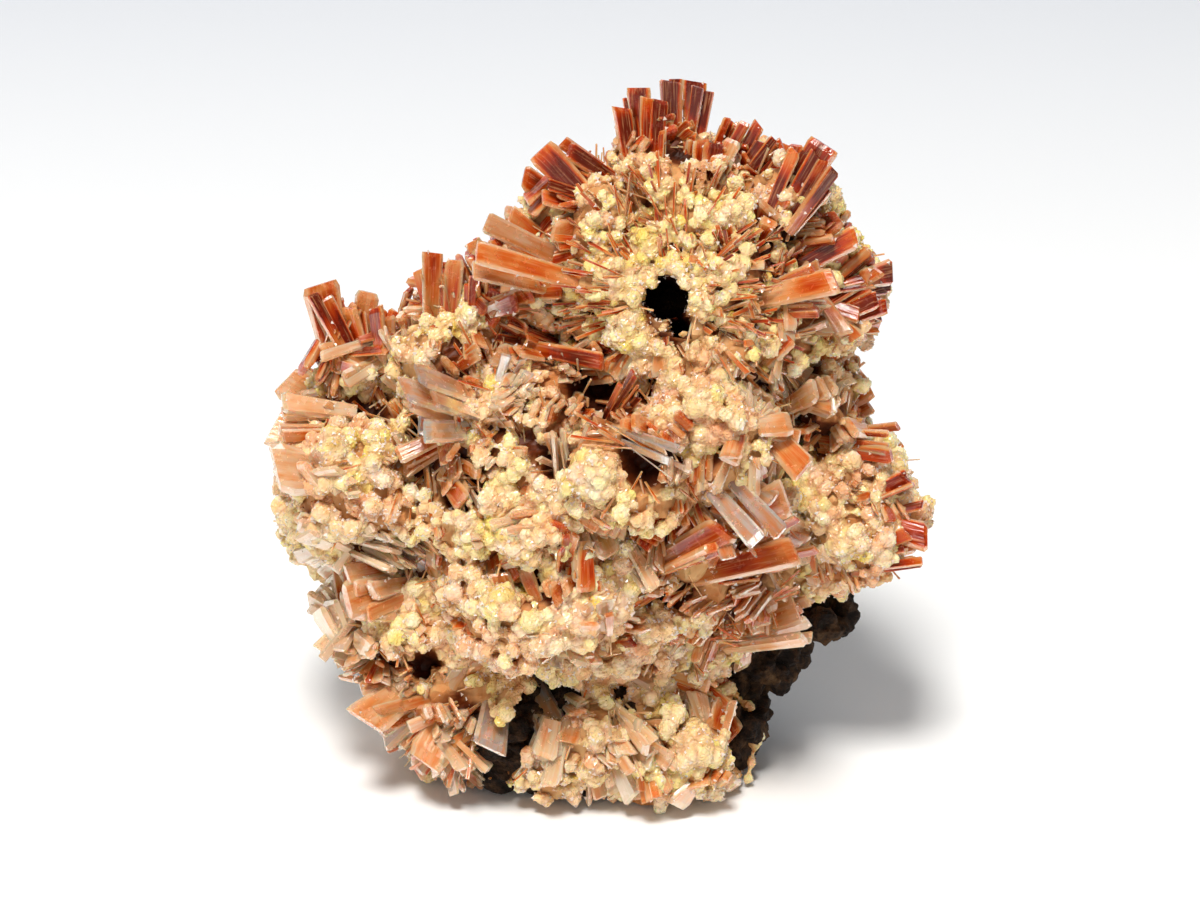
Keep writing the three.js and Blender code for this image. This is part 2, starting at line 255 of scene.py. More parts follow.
def makeBladeMaterial(name, clearness, bleed, shine, palest, absorption=0.0):
    look = bladeLook
    material, add = newMaterial(name)
    zone = add("SeparateXYZ", {0: add("Attribute", attribute_name="zone").outputs["Vector"]})
    spot = add("SeparateXYZ", {0: add("Attribute", attribute_name="spot").outputs["Vector"]})
    grain = add("Attribute", attribute_name="grain").outputs["Vector"]
    stretch = add("Mapping", {"Vector": grain, "Scale": look["stripes"]})
    stripes = add("TexNoise", {"Vector": stretch, "Scale": 1, "Detail": 3})
    cloudPlace = add("Mapping", {"Vector": grain, "Scale": look["clouds"]})
    cloud = add("TexNoise", {"Vector": cloudPlace, "Scale": 1, "Detail": 4})
    off = add("Math", {0: spot}, operation="ABSOLUTE")
    frayed = add("Math", {0: cloud, 1: look["frayed"], 2: off}, operation="MULTIPLY_ADD")
    core = add("MapRange", {0: frayed, 1: look["heartEdge"][0], 2: look["heartEdge"][1]})
    away = add("Math", {0: spot.outputs[1], 1: spot.outputs[2]}, operation="SUBTRACT")
    along = add("Math", {0: away}, operation="ABSOLUTE")
    band = add("MapRange", {0: along, 1: look["band"][0], 2: look["band"][1], 3: look["bandLeast"]})
    heart = add("Math", {0: core, 1: band}, operation="MULTIPLY")
    share = add("MapRange", {0: heart, 3: look["rim"], 4: look["heart"]})
    iron = add("Math", {0: zone, 1: share}, operation="MULTIPLY")
    for source, key in ((cloud, "cloudStain"), (stripes, "stripeStain")):
        more = add("Math", {0: source, 1: look[key][0], 2: look[key][1]}, operation="MULTIPLY_ADD")
        iron = add("Math", {0: iron, 1: more}, use_clamp=key == "stripeStain")
    colour = add("ValToRGB", {0: iron})
    setRamp(colour, [(0.0, palest)] + look["colours"])
    tone = add("MapRange", {0: zone.outputs[2], 3: look["tones"][0], 4: look["tones"][1]})
    toned = add("HueSaturation", {"Color": colour, "Value": tone})
    thread = add("Mapping", {"Vector": grain, "Scale": look["fibres"]})
    threads = add("TexNoise", {"Vector": thread, "Scale": 1, "Detail": 2})
    fibre = add("MapRange", {0: threads, 1: look["fibreAt"][0], 2: look["fibreAt"][1], 4: look["fibreShare"]})
    fibred = add("Mix", {0: fibre, 6: toned, 7: srgb(look["fibre"])}, data_type="RGBA")
    frostCloud = add("TexNoise", {"Vector": grain, "Scale": look["frostScale"], "Detail": 4})
    frost = add("MapRange", {0: frostCloud, 1: look["frostAt"][0], 2: look["frostAt"][1]})
    rough = add("MapRange", {0: frost, 3: look["roughness"][0], 4: look["roughness"][1]})
    see = add("MapRange", {0: iron, 2: look["opaqueFrom"], 3: clearness, 4: clearness * look["clearLeft"]})
    bump = add("Bump", {"Height": stripes, **look["bump"]})
    ends = {"Surface": add("BsdfPrincipled", {
        "Base Color": fibred.outputs[2], "Roughness": rough, "Specular IOR Level": shine,
        "Transmission Weight": see, "Normal": bump, "Subsurface Weight": bleed, **look["surface"]})}
    if absorption:
        ends["Volume"] = add("VolumeAbsorption", {"Color": srgb(look["soakColour"]), "Density": absorption})
    add("OutputMaterial", ends)
    return material


# Waxy cream to yellow balls, grown as a sugary skin: light soaks in; painted shade darkens the creases and the feet
# orange, and what stands out is paler in patches, partly real frosting and partly a painted highlight. The grain is
# in mm, the scales per metre.
ballLook = {
    "colours": [(0.0, "#EAB080"), (0.22, "#F2CA94"), (0.45, "#F6DD9E"), (0.7, "#F2DA7C"), (1.0, "#E9C644")],
    # The crease colour is painted shade where balls meet.
    "driftScale": 500, "drift": (0.8, -0.42), "creaseShadeColour": "#AC5416", "creaseShadeShare": 0.48, "creaseShadeWide": 0.9,
    # The low colour is painted shade at the feet of the balls, near the body.
    "low": "#B66222", "footShadeShare": 0.65, "footShadeUpTo": 0.45, "frost": "#FCF0D4", "frostScale": 700,
    # The frost is partly real pale sugar and partly a painted highlight that grows with height.
    "frostAt": (0.44, 0.68), "frostShare": 0.7, "frostAndHighlightHeight": (0.25, 1.0), "grain": 0.24, "fineScale": 1600,
    "bump": {"Strength": 0.8, "Distance": 0.1 * mm},
    "surface": {"Roughness": 0.26, "IOR": 1.55, "Subsurface Weight": 0.5, "Subsurface Radius": (1, 0.5, 0.2),
                "Subsurface Scale": 0.5 * mm, "Coat Weight": 0.5, "Coat Roughness": 0.1},
}


def makeBallMaterial():
    look = ballLook
    material, add = newMaterial("waxyYellowClusters")
    zone = add("SeparateXYZ", {0: add("Attribute", attribute_name="zone").outputs["Vector"]})
    place = add("TexCoord").outputs["Object"]
    fine = add("TexNoise", {"Vector": place, "Scale": look["fineScale"], "Detail": 3})
    cells = add("TexVoronoi", {"Vector": place, "Scale": 1 / (look["grain"] * mm)})
    drift = add("TexNoise", {"Vector": place, "Scale": look["driftScale"], "Detail": 3})
    shift = add("Math", {0: drift, 1: look["drift"][0], 2: look["drift"][1]}, operation="MULTIPLY_ADD")
    colour = add("ValToRGB", {0: add("Math", {0: zone, 1: shift}, use_clamp=True)})
    setRamp(colour, look["colours"])
    # Painted shade: the low colour darkens the balls where they sit close to the body.
    low = add("MapRange", {0: zone.outputs[2], 2: look["footShadeUpTo"], 3: look["footShadeShare"], 4: 0})
    patches = add("TexNoise", {"Vector": place, "Scale": look["frostScale"], "Detail": 4})
    patch = add("MapRange", {0: patches, 1: look["frostAt"][0], 2: look["frostAt"][1], 4: look["frostShare"]})
    # Partly a painted highlight: the frost patches grow paler the higher the skin stands out.
    high = add("MapRange", {0: zone.outputs[2], 1: look["frostAndHighlightHeight"][0], 2: look["frostAndHighlightHeight"][1]})
    frostAndHighlight = add("Math", {0: patch, 1: high}, operation="MULTIPLY")
    # Painted shade: the crease colour darkens the skin where one ball meets the next.
    crease = add("MapRange", {0: zone.outputs[1], 2: look["creaseShadeWide"], 3: look["creaseShadeShare"], 4: 0})
    mixed = colour.outputs[0]
    for share, key in ((low, "low"), (frostAndHighlight, "frost"), (crease, "creaseShadeColour")):
        mixed = add("Mix", {0: share, 6: mixed, 7: srgb(look[key])}, data_type="RGBA").outputs[2]
    height = add("Math", {0: fine, 1: cells}, operation="SUBTRACT")
    bump = add("Bump", {"Height": height, **look["bump"]})
    surface = add("BsdfPrincipled", {"Base Color": mixed, "Normal": bump, **look["surface"]})
    add("OutputMaterial", {"Surface": surface})
    return material


# Sugary grains, glassy points that catch small lights.
sugarLook = {"colours": [(0.0, "#FFF8F0"), (0.5, "#FBE6D6"), (1.0, "#F0C4A4")],
             "surface": {"Roughness": 0.1, "IOR": 1.62, "Transmission Weight": 0.15}}


def makeSugarMaterial():
    material, add = newMaterial("sugaryDruse")
    zone = add("SeparateXYZ", {0: add("Attribute", attribute_name="zone").outputs["Vector"]})
    colour = add("ValToRGB", {0: zone})
    setRamp(colour, sugarLook["colours"])
    surface = add("BsdfPrincipled", {"Base Color": colour, **sugarLook["surface"]})
    add("OutputMaterial", {"Surface": surface})
    return material


# The sugary ground that the crystals stand on, orange-brown to cream, with painted shade: dark brown where it lies
# deep.
groundLook = {"colours": [(0.0, "#B86C36"), (0.35, "#CE925A"), (0.7, "#E0B67E"), (1.0, "#E6C884")],
              # The deep colours are painted shade for the deep places.
              "deep": [(0.0, "#9C4E14"), (0.5, "#6C2E08"), (1.0, "#321002")], "deepShadeAt": (0.2, 0.6),
              "scale": 900, "drift": (0.8, -0.4), "bump": {"Strength": 0.6, "Distance": 0.15 * mm},
              "surface": {"Roughness": 0.5, "IOR": 1.5, "Specular IOR Level": 0.25, "Subsurface Weight": 0.25,
                          "Subsurface Radius": (1, 0.5, 0.3), "Subsurface Scale": 0.5 * mm}}


def makeGroundMaterial():
    look = groundLook
    material, add = newMaterial("brownSugaryGround")
    place = add("TexCoord").outputs["Object"]
    zone = add("SeparateXYZ", {0: add("Attribute", attribute_name="zone").outputs["Vector"]})
    noise = add("TexNoise", {"Vector": place, "Scale": look["scale"], "Detail": 5})
    drift = add("Math", {0: noise, 1: look["drift"][0], 2: look["drift"][1]}, operation="MULTIPLY_ADD")
    tone = add("Math", {0: zone, 1: drift}, use_clamp=True)
    colour = add("ValToRGB", {0: tone})
    setRamp(colour, look["colours"])
    low = add("Math", {0: zone.outputs[1], 1: drift}, use_clamp=True)
    deep = add("ValToRGB", {0: low})
    setRamp(deep, look["deep"])
    # Painted shade: the deep places darken to brown.
    share = add("MapRange", {0: low, 1: look["deepShadeAt"][0], 2: look["deepShadeAt"][1]})
    mixed = add("Mix", {0: share, 6: colour, 7: deep}, data_type="RGBA")
    bump = add("Bump", {"Height": noise, **look["bump"]})
    surface = add("BsdfPrincipled", {"Base Color": mixed.outputs[2], "Normal": bump, **look["surface"]})
    add("OutputMaterial", {"Surface": surface})
    return material


# Dark porous host rock, dry and rough, with rusty patches and tiny bright grains.
matrixLook = {"colours": [(0.35, "#0C0806"), (0.47, "#241811"), (0.57, "#45301E"), (0.7, "#6A4E32"),
                          (0.85, "#96805C")],
              "coarse": 700, "coarseRoughness": 0.72, "fine": 2200, "grains": 1900, "grainSize": 0.16,
              "roughness": 0.85, "grainRoughness": 0.15, "shine": 0.25,
              "bump": {"Strength": 0.9, "Distance": 0.35 * mm}}


def makeMatrixMaterial():
    look = matrixLook
    material, add = newMaterial("darkPorousMatrix")
    place = add("TexCoord").outputs["Object"]
    coarse = add("TexNoise", {"Vector": place, "Scale": look["coarse"], "Detail": 8,
                              "Roughness": look["coarseRoughness"]})
    fine = add("TexNoise", {"Vector": place, "Scale": look["fine"], "Detail": 4})
    cells = add("TexVoronoi", {"Vector": place, "Scale": look["grains"]})
    colour = add("ValToRGB", {0: coarse})
    setRamp(colour, look["colours"])
    glint = add("MapRange", {0: cells, 2: look["grainSize"], 3: 1, 4: 0})
    rough = add("MapRange", {0: glint, 3: look["roughness"], 4: look["grainRoughness"]})
    height = add("Math", {0: fine, 1: coarse}, operation="ADD")
    bump = add("Bump", {"Height": height, **look["bump"]})
    surface = add("BsdfPrincipled", {"Base Color": colour, "Roughness": rough,
                                     "Specular IOR Level": look["shine"], "Normal": bump})
    add("OutputMaterial", {"Surface": surface})
    return material


bladeMaterial = makeBladeMaterial("ironStainedBlades", 0.4, 0.6, 0.2, "#F8D6B2")
clearMaterial = makeBladeMaterial("clearHemimorphiteBlades", 0.7, 0.5, 0.5, "#FFF4E8", absorption=10)
ballMaterial = makeBallMaterial()
sugarMaterial = makeSugarMaterial()
groundMaterial = makeGroundMaterial()
matrixMaterial = makeMatrixMaterial()
print("materials made")

# Rounded masses of the crust: right, up, back, then the half sizes across, deep and high.
crustLobes = [
    (-0.8, -4, 2, 18.4, 13, 17), (7.6, 12.8, 3, 11, 10.5, 11), (-18.4, -2.2, 3, 8, 9, 9),
    (-0.2, 18.6, 3.4, 4.8, 6, 4.4), (5.2, 22.2, 3.4, 4.4, 5.6, 4.4), (13.6, 19.6, 3.4, 4.8, 6, 4.6),
    (18.4, 12.6, 3.6, 4.4, 6, 4.4), (-20.2, 8, 4, 3.4, 4, 3.8), (-11, 8, 3, 5.4, 7, 5.6),
    (-6.6, 13, 3.6, 5, 6, 4.2), (19, -4, 3, 6.4, 8, 6.8), (16.8, 4.8, 3, 4.2, 6, 4.6),
    (-9.4, -20.2, -1, 8.6, 8, 6.6), (4.6, -22.6, -3, 7.6, 7, 5.2), (-15.4, -12.8, 1, 6.6, 8, 6.8),
    (1.6, -1.6, -9, 5.2, 4, 5), (-4, -12.6, -8.6, 8, 4.4, 4), (9.4, 0.8, -7.4, 5.4, 4, 4.4),
    (-2.6, -22.6, -5.2, 4.8, 4.6, 5.2),
]

# Where the matrix shows through: right and up of both ends, and the radius. The first two are the pit.
pitRows = 2
windows = [(5.4, 12.3, 5.6, 12.1, 1.8), (6.3, 9.9, 6.5, 10, 0.8), (-3.6, -19.4, -9.6, -26.4, 1.9),
           (12.8, -17.6, 11.2, -24.4, 1.5)]

# Deep dark places between the crystals: right, up, radius and depth.
cavities = [
    (-14.4, 0.8, 1.6, 3), (3.8, -0.6, 2.2, 2.6), (-0.4, 5.2, 1.8, 2), (18.4, 0.8, 1.4, 2.2),
    (-6.4, 8.4, 1.2, 1.8), (0.2, -13.8, 1.1, 2.2), (9.6, -5.6, 1.4, 1.6), (12.4, -13.8, 2.2, 2.6),
    (-11.2, -3.6, 1.3, 2), (-3.2, -1.2, 1.2, 1.6), (5.8, -11.8, 1.2, 2), (-17.6, -9.6, 1.2, 1.6),
    (13.6, -4.2, 1, 1.4), (-8.8, 13.2, 1, 1.4), (13.4, 11.2, 1.2, 1.6), (1, 9.6, 1, 1.4),
    (-14, -17.4, 1.4, 1.8), (3.4, -17.2, 1.2, 1.8), (7.2, -20.4, 1.2, 1.8), (9.2, 15.8, 0.9, 1.2),
]


def nearLine(right, up, row):
    ax, ay, bx, by, radius = row
    dx, dy = bx - ax, by - ay
    t = np.clip(((right - ax) * dx + (up - ay) * dy) / (dx * dx + dy * dy), 0, 1)
    return np.hypot(right - ax - t * dx, up - ay - t * dy) / radius


def inCavity(right, up):
    inside = np.zeros(len(right), bool)
    for r, u, radius, _ in cavities:
        inside |= np.hypot(right - r, up - u) < radius
    return inside


# The body: the rounded masses as one plain skin, on which everything is placed.
groundSet = {"bodyVoxel": 0.7, "voxel": 0.4, "sink": 1, "uneven": 0.11, "relief": 1.9, "grit": 0.25, "fine": 0.3,
             "lowest": 0.3, "windowDepth": 13, "troughDepth": 3.6, "edge": 1.1, "ragged": 0.3, "steep": 3,
             "cavityReach": 1.4, "facets": 0.04, "deepShadeFrom": 0.25, "deepShadeSlope": 1.3, "deepShadePush": 1.5,
             "pitClear": 1.25, "windowClear": 0.9}
ballPoints, ballFaces = icoBall(5)
lobeSets = []
for i, (right, up, back, across, deep, high) in enumerate(crustLobes):
    p = ballPoints * (1 + groundSet["uneven"] * unevenness(ballPoints, i * 1.3))[:, None]
    p = p * (np.array([across, deep, high]) - groundSet["sink"]) + seenAt(right, up, back)
    lobeSets.append((p, ballFaces))
lobePoints, lobeFaces = gather(lobeSets)
bodyPoints, bodyFaces = oneSkin(lobePoints, lobeFaces, groundSet["bodyVoxel"])
bodyNormals = vertexNormals(bodyPoints, bodyFaces)
areaFaces = np.concatenate([bodyFaces[:, [0, 1, 2]], bodyFaces[:, [0, 2, 3]]])
a, b, c = (bodyPoints[areaFaces[:, i]] for i in range(3))
areas = np.linalg.norm(np.cross(b - a, c - a), axis=1)
print("body", len(bodyFaces))


# Ridges and valleys of the crust: over zero where clusters stand in rows, under zero between them.
def ridgeAt(points):
    return 0.8 * softNoise(points, 3.6, 61) + 0.5 * softNoise(points, 1.9, 62)


# Where balls (over zero) or blades (under zero) prevail on the front: right, up, radius and how much.
prevailing = [
    (-14, -14, 5, 0.35), (-7.6, -13.6, 5, 0.35), (-1, -14.2, 5, 0.3), (5, -15.2, 4, 0.3),
    (20, -4.4, 5, 0.3), (22, 0.8, 3, 0.2), (-21, -3, 5, 0.3), (-19, 4.6, 3, 0.2), (4.4, 5.6, 4, 0.3),
    (9.6, 2, 4, 0.3), (-8.6, 1.6, 4, 0.25), (-3, -3.6, 4, 0.25), (-10.6, 11, 2, 0.3), (7, -24, 3, 0.4),
    (15, 7, 3, 0.2), (-20, -13.4, 4, -0.5), (-14.4, -22, 6, -0.4), (9, -8, 5, -0.4),
    (12.4, -13.6, 4, -0.5), (-5.6, 11, 5, -0.4), (-12.6, 3.6, 3, -0.3), (18.4, 1.6, 2.6, -0.5),
    (1.8, 3.4, 3, -0.4), (10.4, -3.6, 3, -0.3), (14.6, 12, 4, -0.3), (-13, 13, 3, -0.3), (-21, 10, 3, -0.4),
]


def prevailingAt(place, normal):
    r, u = asSeen(place)
    total = np.zeros(len(place))
    for bandR, bandU, radius, amount in prevailing:
        total += amount * np.clip(1.4 - np.hypot(r - bandR, u - bandU) / radius, 0, 1)
    return np.where(normal @ towardEye > 0, total, 0)


# Faces drawn by their areas, and how far along two of their edges.
def randomSpots(areas, count):
    chosen = rng.choice(len(areas), count, p=areas / areas.sum())
    s, t = rng.random((2, count, 1))
    over = s + t > 1
    return chosen, np.where(over, 1 - s, s), np.where(over, 1 - t, t)


# Random places on the body, lifted to its ridges and valleys, with the way outward and the ridge.
def scatter(count):
    chosen, s, t = randomSpots(areas, count)
    corner = areaFaces[chosen]
    p = [bodyPoints[corner[:, i]] for i in range(3)]
    n = [bodyNormals[corner[:, i]] for i in range(3)]
    place = p[0] + (p[1] - p[0]) * s + (p[2] - p[0]) * t
    normal = unit(n[0] + (n[1] - n[0]) * s + (n[2] - n[0]) * t)
    ridge = ridgeAt(place)
    return place + normal * (groundSet["relief"] * ridge)[:, None], normal, ridge


# Numbers of the places that keep a distance from those before them.
def apart(places, distance):
    kept, cells = [], {}
    for i, place in enumerate(places):
        cell = tuple((place // distance).astype(int))
        near = [j for dx in (-1, 0, 1) for dy in (-1, 0, 1) for dz in (-1, 0, 1)
                for j in cells.get((cell[0] + dx, cell[1] + dy, cell[2] + dz), ())]
        if all(((places[j] - place) ** 2).sum() > distance * distance for j in near):
            kept.append(i)
            cells.setdefault(cell, []).append(i)
    return np.array(kept)


# Whether places are clear of the windows; round the pit, the first of them, a wider ring stays free.
def isOpen(place, normal):
    r, u = asSeen(place)
    inWindow = np.zeros(len(place), bool)
    for i, row in enumerate(windows):
        clear = groundSet["windowClear" if i else "pitClear"]
        inWindow |= (nearLine(r, u, row) < clear) & (normal @ towardEye > 0.05)
    return ~inWindow


# The ground between the crystals: the body with its relief, pushed back in the windows and cavities.
groundPoints, groundFaces = oneSkin(lobePoints, lobeFaces, groundSet["voxel"])
groundNormals = vertexNormals(groundPoints, groundFaces)
ridge = ridgeAt(groundPoints)
lift = groundSet["relief"] * ridge + groundSet["grit"] * softNoise(groundPoints, 0.9, 4)
lift += groundSet["fine"] * softNoise(groundPoints, 0.5, 3)
groundPoints = groundPoints + groundNormals * lift[:, None]
groundPoints[:, 2] = np.maximum(groundPoints[:, 2], groundSet["lowest"])
bodyTree = BVHTree.FromPolygons([Vector(p) for p in groundPoints], groundFaces.tolist())
right, up = asSeen(groundPoints)
push, sunk = np.zeros((2, len(groundPoints)))
edge = groundSet["edge"] + groundSet["ragged"] * softNoise(groundPoints, 1.6, 11)
for i, row in enumerate(windows):
    share = np.clip((edge - nearLine(right, up, row)) * groundSet["steep"], 0, 1)
    if i < pitRows:
        push = np.maximum(push, groundSet["windowDepth"] * share)
    else:
        sunk = np.maximum(sunk, groundSet["troughDepth"] * share)
for r, u, radius, depth in cavities:
    near = np.hypot(right - r, up - u) / radius
    push = np.maximum(push, depth * np.clip(groundSet["cavityReach"] - near, 0, 1))
facing = groundNormals @ towardEye
push = np.where((facing > -0.2) & (((groundPoints - middle) @ towardEye) > 0), push, 0)
sunk = np.where((facing > -0.3) & (groundPoints[:, 1] < middle[1]), sunk, 0)
groundPoints = groundPoints - towardEye * push[:, None] - groundNormals * sunk[:, None]
groundPoints += groundNormals * rng.normal(0, groundSet["facets"], (len(groundPoints), 1))
groundPoints[:, 2] = np.maximum(groundPoints[:, 2], groundSet["lowest"])
# Painted shade: how deep each point lies in a valley, window or cavity, which the ground material darkens to brown.
deepShadeAmount = np.clip(groundSet["deepShadeFrom"] - ridge * groundSet["deepShadeSlope"], 0, 1)
deepShadeAmount = np.clip(deepShadeAmount + np.clip((push + sunk) / groundSet["deepShadePush"], 0, 1), 0, 1)
pale = 0.4 + 0.3 * softNoise(groundPoints, 3.5, 5) + 0.1 * softNoise(groundPoints, 1.2, 6)
zone = np.stack([pale, deepShadeAmount, ridge], 1)
ground = meshFrom("crystal_ground", groundPoints, groundFaces, {"zone": zone}, groundMaterial, smooth=False)
print("ground", len(groundFaces) * 2)


# The first point of the body met on the way from the eye, or a little inward of it.
def frontHit(r, u):
    start = Vector(eye)
    for inward in np.arange(1, 0.5, -0.03):
        sight = Vector(middle + seenRight * r * inward + seenUp * u * inward - eye).normalized()
        place, normal, _, _ = bodyTree.ray_cast(start, sight)
        if place:
            return np.array(place), np.array(normal)
    raise ValueError(f"nothing seen near {r}, {u}")


# The matrix: the solid's own form with a rough, porous skin, and lumps under the two low windows.
matrixSet = {"voxel": 0.34, "coarse": 0.5, "fine": 0.5, "grit": 0.35, "pores": 1.6, "dents": 2.6, "foot": 1.2,
             "lumps": 8, "size": (1.2, 1.7), "uneven": 0.2, "under": 0.9}
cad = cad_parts["matrix"].data
cad.calc_loop_triangles()
cadFaces = np.empty(len(cad.loop_triangles) * 3, np.int32)
cad.loop_triangles.foreach_get("vertices", cadFaces)
rockSets = [(pointsOf(cad), cadFaces.reshape(-1, 3))]
smallPoints, smallFaces = icoBall(3)
for ax, ay, bx, by, radius in windows[pitRows:]:
    for t in np.linspace(0, 1, matrixSet["lumps"]):
        place, normal = frontHit(ax + (bx - ax) * t, ay + (by - ay) * t)
        size = radius * rng.uniform(*matrixSet["size"])
        lump = smallPoints * size * (1 + matrixSet["uneven"] * unevenness(smallPoints, t * 9))[:, None]
        lump = lump + place - unit(normal + towardEye) * (size + matrixSet["under"])
        rockSets.append((lump, smallFaces))
rockPoints, rockFaces = oneSkin(*gather(rockSets), matrixSet["voxel"])
rockNormals = vertexNormals(rockPoints, rockFaces)
lumps = matrixSet["coarse"] * softNoise(rockPoints, 2.6, 7) + matrixSet["fine"] * softNoise(rockPoints, 0.9, 8)
lumps += matrixSet["grit"] * softNoise(rockPoints, 0.45, 10)
lumps -= matrixSet["pores"] * np.clip(softNoise(rockPoints, 1.5, 9) - 0.1, 0, 1)
lumps -= matrixSet["dents"] * np.clip(softNoise(rockPoints, 5.5, 12), 0, 1) * (rockPoints[:, 1] > middle[1])
lift = np.clip(rockPoints[:, 2] / matrixSet["foot"], 0, 1)
rockPoints = rockPoints + rockNormals * (lumps * lift)[:, None]
rockPoints[:, 2] = np.maximum(rockPoints[:, 2], 0)
rock = meshFrom("matrix_rock", rockPoints, rockFaces, {}, matrixMaterial, smooth=False)
print("matrix", len(rockFaces) * 2)

# Clusters of balls: right, up, radius, and how yellow they are.
clusters = [
    (10.8, 19.2, 1.9, 0.5), (8, 21.8, 2, 0.35), (3.6, 16.8, 1.5, 0.6), (0, 16, 1.4, 0.6),
    (2, 14.8, 1.3, 0.6), (8.4, 16.2, 1.8, 0.5), (9.6, 14.4, 1.4, 0.6), (1.4, 12.6, 1.5, 0.45),
    (13.6, 20, 1.5, 0.4), (-3, 19.2, 1.2, 0.6), (16, 18, 1.3, 0.4), (2.8, 9.2, 2.1, 0.75),
    (4.6, 8.6, 1.7, 0.6), (3.2, 6.4, 1.4, 0.5), (6.2, 5.8, 1.6, 0.4), (8.2, 4.4, 1.8, 0.4),
    (11.6, 3.8, 2.1, 0.4), (13.2, 8.4, 1.6, 0.5), (15.2, 6.4, 1.9, 0.5), (19.6, 9, 1.2, 0.4),
    (8, 0.8, 2, 0.6), (18.4, 4, 1.2, 0.5), (22, 1.2, 1.1, 0.4), (18, -2.4, 1.6, 0.5),
    (21.6, -3.4, 1.8, 0.5), (24, -1.6, 1.3, 0.5), (20, -7.2, 2.4, 0.8), (23, -8, 1.6, 0.6),
    (17.4, -9, 1.4, 0.6), (-10.4, 12, 1.1, 0.6), (-10.6, 9.8, 1.1, 0.7), (-8.8, 5.2, 1.6, 0.6),
    (-8, 3, 1.4, 0.6), (-9.6, 0.8, 1.5, 0.7), (-1.6, 0.8, 1.6, 0.3), (-0.8, -2.4, 2.2, 0.65),
    (-4.8, -4, 1.6, 0.3), (-8, -4, 1.6, 0.4), (-6.4, -7.4, 1.9, 0.5), (1.6, -8, 1.6, 0.5),
    (3.2, -10.4, 1.6, 0.7), (-18.8, 5.6, 1.1, 0.5), (-21.2, -0.4, 2, 0.7), (-18.4, -1.6, 1.6, 0.7),
    (-24, -5.6, 1.6, 0.5), (-21.6, -7.2, 1.8, 0.6), (-13.6, -12.4, 2, 0.85), (-11.2, -14.4, 1.6, 0.7),
    (-11.2, -16.4, 1.6, 0.6), (-17.6, -14.8, 1.6, 0.6), (-7.6, -12, 2.1, 0.9), (-2.4, -13.8, 2.2, 0.35),
    (0.8, -12.4, 2.2, 0.4), (4.2, -14, 1.9, 0.5), (6.6, -15.4, 1.7, 0.6), (2.4, -18.8, 1.6, 0.9),
    (8.8, -18.4, 1.8, 0.6), (0, -23.2, 1.7, 0.6), (7.2, -24, 2.5, 0.6), (-0.8, -25.6, 1.4, 0.7),
    (9.8, -25, 1.3, 0.5), (9.4, -21.4, 1.2, 0.5), (12.6, -15.6, 1.2, 0.5), (14.6, -16.6, 1.2, 0.4),
]
clusterSet = {"ballShare": 0.42, "uneven": (0.6, 1.2), "ballSize": (0.55, 0.95), "away": (0.5, 0.95), "sunk": 0.2,
              "core": 0.6, "leastYellow": 0.12, "yellowShare": 0.54, "stretch": (0.75, 1.25), "atRadius2": 30,
              "fewest": 7, "inward": -0.3}


def evenDirections(count):
    i = np.arange(count)
    z = 1 - (2 * i + 1) / count
    ring = np.sqrt(1 - z * z)
    turn = math.pi * (3 - math.sqrt(5)) * i
    return np.stack([np.cos(turn) * ring, np.sin(turn) * ring, z], 1)


balls = []  # centre, radius, yellow, centre of what it belongs to


def addCluster(place, outward, radius, yellow):
    centre = place - outward * radius * clusterSet["sunk"]
    balls.append((centre, radius * clusterSet["core"], yellow, centre))
    yellow = clusterSet["leastYellow"] + yellow * clusterSet["yellowShare"]
    stretch = rng.uniform(*clusterSet["stretch"], 3)
    count = max(clusterSet["fewest"], int(clusterSet["atRadius2"] * (radius / 2) ** 1.5))
    for direction in evenDirections(count):
        direction = unit(direction + rng.normal(0, 0.3, 3))
        if direction @ outward < clusterSet["inward"]:
            continue
        size = radius * clusterSet["ballShare"] * rng.uniform(*clusterSet["uneven"])
        size = min(size, rng.uniform(*clusterSet["ballSize"]))
        away = radius * rng.uniform(*clusterSet["away"]) * stretch
        balls.append((centre + direction * away, size, yellow + rng.normal(0, 0.16), centre))


# The fan above the pit, where rows of balls run outward between needles, and clusters are smaller. The rows run
# from and to these degrees round from the right.
pit = (5.4, 12.0)
fanSet = {"rows": 42, "from": -25, "to": 215, "near": 2.5, "far": 10.5, "step": 1.15, "radius": (0.32, 0.62),
          "filled": 0.9, "yellow": 0.55, "smaller": 0.72}
for r, u, radius, yellow in clusters:
    place, normal = frontHit(r, u)
    if math.hypot(r - pit[0], u - pit[1]) < fanSet["far"] and u > pit[1]:
        radius *= fanSet["smaller"]
    addCluster(place, unit(normal + towardEye), radius, yellow)
print("balls", len(balls))

# Rows of balls from the pit outward over the top.
for i in range(fanSet["rows"]):
    turn = (fanSet["to"] - fanSet["from"]) * (i + rng.uniform(-0.3, 0.3)) / fanSet["rows"]
    angle = math.radians(fanSet["from"] + turn)
    out = fanSet["near"] + rng.uniform(-0.4, 0.8)
    while out < fanSet["far"]:
        r = pit[0] + math.cos(angle) * out + rng.normal(0, 0.15)
        u = pit[1] + math.sin(angle) * out + rng.normal(0, 0.15)
        if rng.random() < fanSet["filled"]:
            place, normal = frontHit(r, u)
            radius = rng.uniform(*fanSet["radius"])
            balls.append((place + unit(normal + towardEye) * radius * rng.uniform(0.2, 1.2), radius,
                          fanSet["yellow"] + rng.normal(0, 0.12), place))
        out += fanSet["step"] * rng.uniform(0.6, 1.5)

